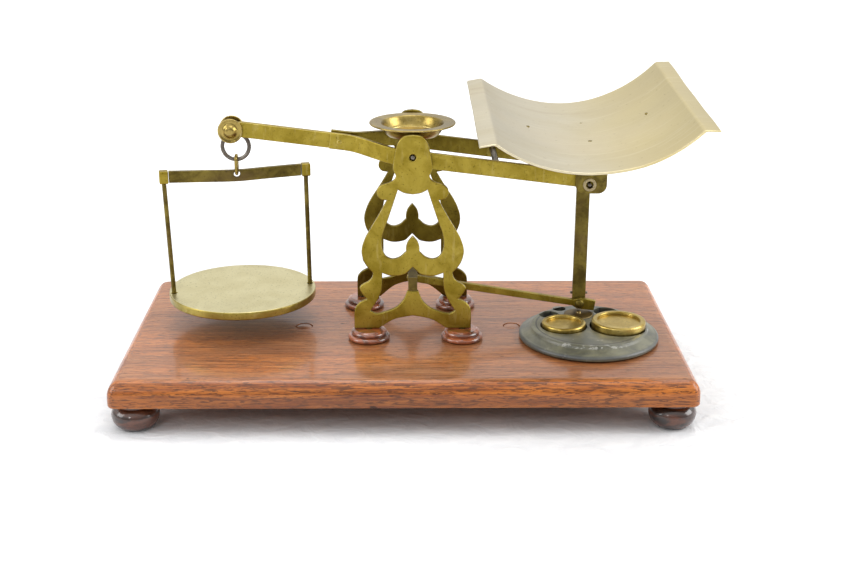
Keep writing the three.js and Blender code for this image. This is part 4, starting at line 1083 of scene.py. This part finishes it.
EBONISED = Finish("worn_ebonised_wood", Coat_Roughness=0.3, Coat_IOR=1.5)
clouds = EBONISED.noise(55, 5, 0.62, 0.5)
grain = EBONISED.noise(30, 4, 0.6, 0.4, stretch=(1, 14, 14))
chips = EBONISED.noise(150, 4, 0.7)
EBONISED.tone = EBONISED.blend(clouds.between(0.35, 0.65), (0.070, 0.072, 0.050), (0.165, 0.162, 0.105))
EBONISED.tint(grain.between(0.5, 0.68) * 0.4, (0.055, 0.062, 0.066))
EBONISED.tint(chips.between(0.64, 0.70) * 0.7, (0.30, 0.29, 0.25))
centre = (block_spot.x * MM, block_spot.y * MM, 0)
from_axis = EBONISED.vector("MULTIPLY", EBONISED.vector("SUBTRACT", EBONISED.place, centre), (1, 1, 0))
from_axis = EBONISED.vector("LENGTH", from_axis, output="Value")
# The incised ring is not cut in the mesh: a near-black ring of painted shade and a dip in the relief stand
# for its groove.
ring = from_axis.between(0.0308, 0.0312) - from_axis.between(0.0316, 0.0320)
EBONISED.tint(ring * 0.9, (0.012, 0.012, 0.012))
lighter_edges = EBONISED.edge_band(1.0).between(0.02, 0.2)
EBONISED.tint(lighter_edges * chips.between(0.35, 0.6) * 0.6, (0.27, 0.28, 0.26))
height = EBONISED.along("Z") - block_low.z * MM
# The lowest millimetre or so is near black: painted shadow under the rounded foot.
foot_shadow = height.between(0.0004, 0.0013, 1, 0)
# A bluish band round the bead: painted sheen.
bead_sheen = height.between(0.0012, 0.0018) * height.between(0.0029, 0.0037, 1, 0)
EBONISED.tint(bead_sheen * 0.6, (0.040, 0.048, 0.060))
EBONISED.tint(foot_shadow * 0.9, (0.008, 0.008, 0.008))
depth = (block_high.z - block_low.z) * MM
# Inside the wells, below the top, the wood is darker: painted shade.
well_shade = height.between(depth - 0.0018, depth - 0.0004, 1, 0) * from_axis.between(0.0338, 0.0346, 1, 0)
EBONISED.tint(well_shade * 0.8, (0.022, 0.022, 0.020))
towards_front = EBONISED.along("Y").between(-0.050, -0.045, 1, 0)
near_ring = from_axis.between(0.0316, 0.0322) - from_axis.between(0.0345, 0.0360)
flakes = EBONISED.noise(330, 3, 0.6, stretch=(1, 2.2, 1)).between(0.56, 0.62)
EBONISED.tint(near_ring * towards_front * flakes * 0.6, (0.50, 0.50, 0.46))
EBONISED.feed("Coat Weight", 0.25 + clouds * 0.4)
EBONISED.close(
    0.34 + clouds * 0.25,
    clouds * 0.3 + grain * 0.2 - ring * 1.2 - chips.between(0.64, 0.70) * 0.3, 0.25, 0.7)
turned_block = [moved(shell, shift(block_spot.x, block_spot.y)) for shell in block_shells]
piece("weight_rest", turned_block, EBONISED, "stand", ["weight_block"], crisp=45)

# ---- The weights ----
# Postal ounces turned from brass bar, loose in their wells. The two larger ones have a raised rim
# round a sunk face and are bright from handling; the smallest is a brown disc with a button on it.
GOLD = aged_brass("handled_brass", (0.38, 0.265, 0.055), (0.60, 0.46, 0.15), (0.90, 0.78, 0.42), 0.2)
BROWN = aged_brass("browned_brass", (0.13, 0.085, 0.030), (0.23, 0.165, 0.065), (0.45, 0.36, 0.18), 0.32)
for name, body, lip in (("weight_large", "large_weight", 3.2), ("weight_medium", "medium_weight", 2.7)):
    low, high = corners(name)
    radius, height = (high.x - low.x) / 2, high.z - low.z
    rim = [(radius, -0.9), (radius - 0.3, -0.35), (radius - 0.9, -0.05), (radius - 1.5, 0)]
    face = radius - lip
    sunk = [(face + 0.3, 0), (face - 0.1, -0.35), (face - 0.4, -1.4), (face - 1.2, -1.75), (0, -1.7)]
    upper = [(r, height + z) for r, z in flowing(rim, 4) + flowing(sunk, 4)]
    outline = [(0, 0), (radius - 0.6, 0), (radius, 0.6), (radius, height - 1.4), *upper]
    coin = moved(turned(outline, 112), shift(loose[name].x, loose[name].y, low.z))
    piece(f"brass_{name}", [coin], GOLD, body, [name], crisp=60)
low, high = corners("weight_small")
radius, height = (high.x - low.x) / 2, high.z - low.z - 1.6
BUTTON = [(1.9, 0.05), (1.5, 0.5), (1.45, 1.0), (0.9, 1.5), (0, 1.6)]
edge = [(0, 0), (radius - 0.5, 0), (radius, 0.5), (radius, height - 0.6), (radius - 0.2, height - 0.2)]
outline = [*edge, (radius - 0.7, height), *((r, height + z) for r, z in BUTTON)]
disc = moved(turned(outline, 80), shift(loose["weight_small"].x, loose["weight_small"].y, low.z))
piece("plain_weight_small", [disc], BROWN, "stand", ["weight_small"], crisp=50)
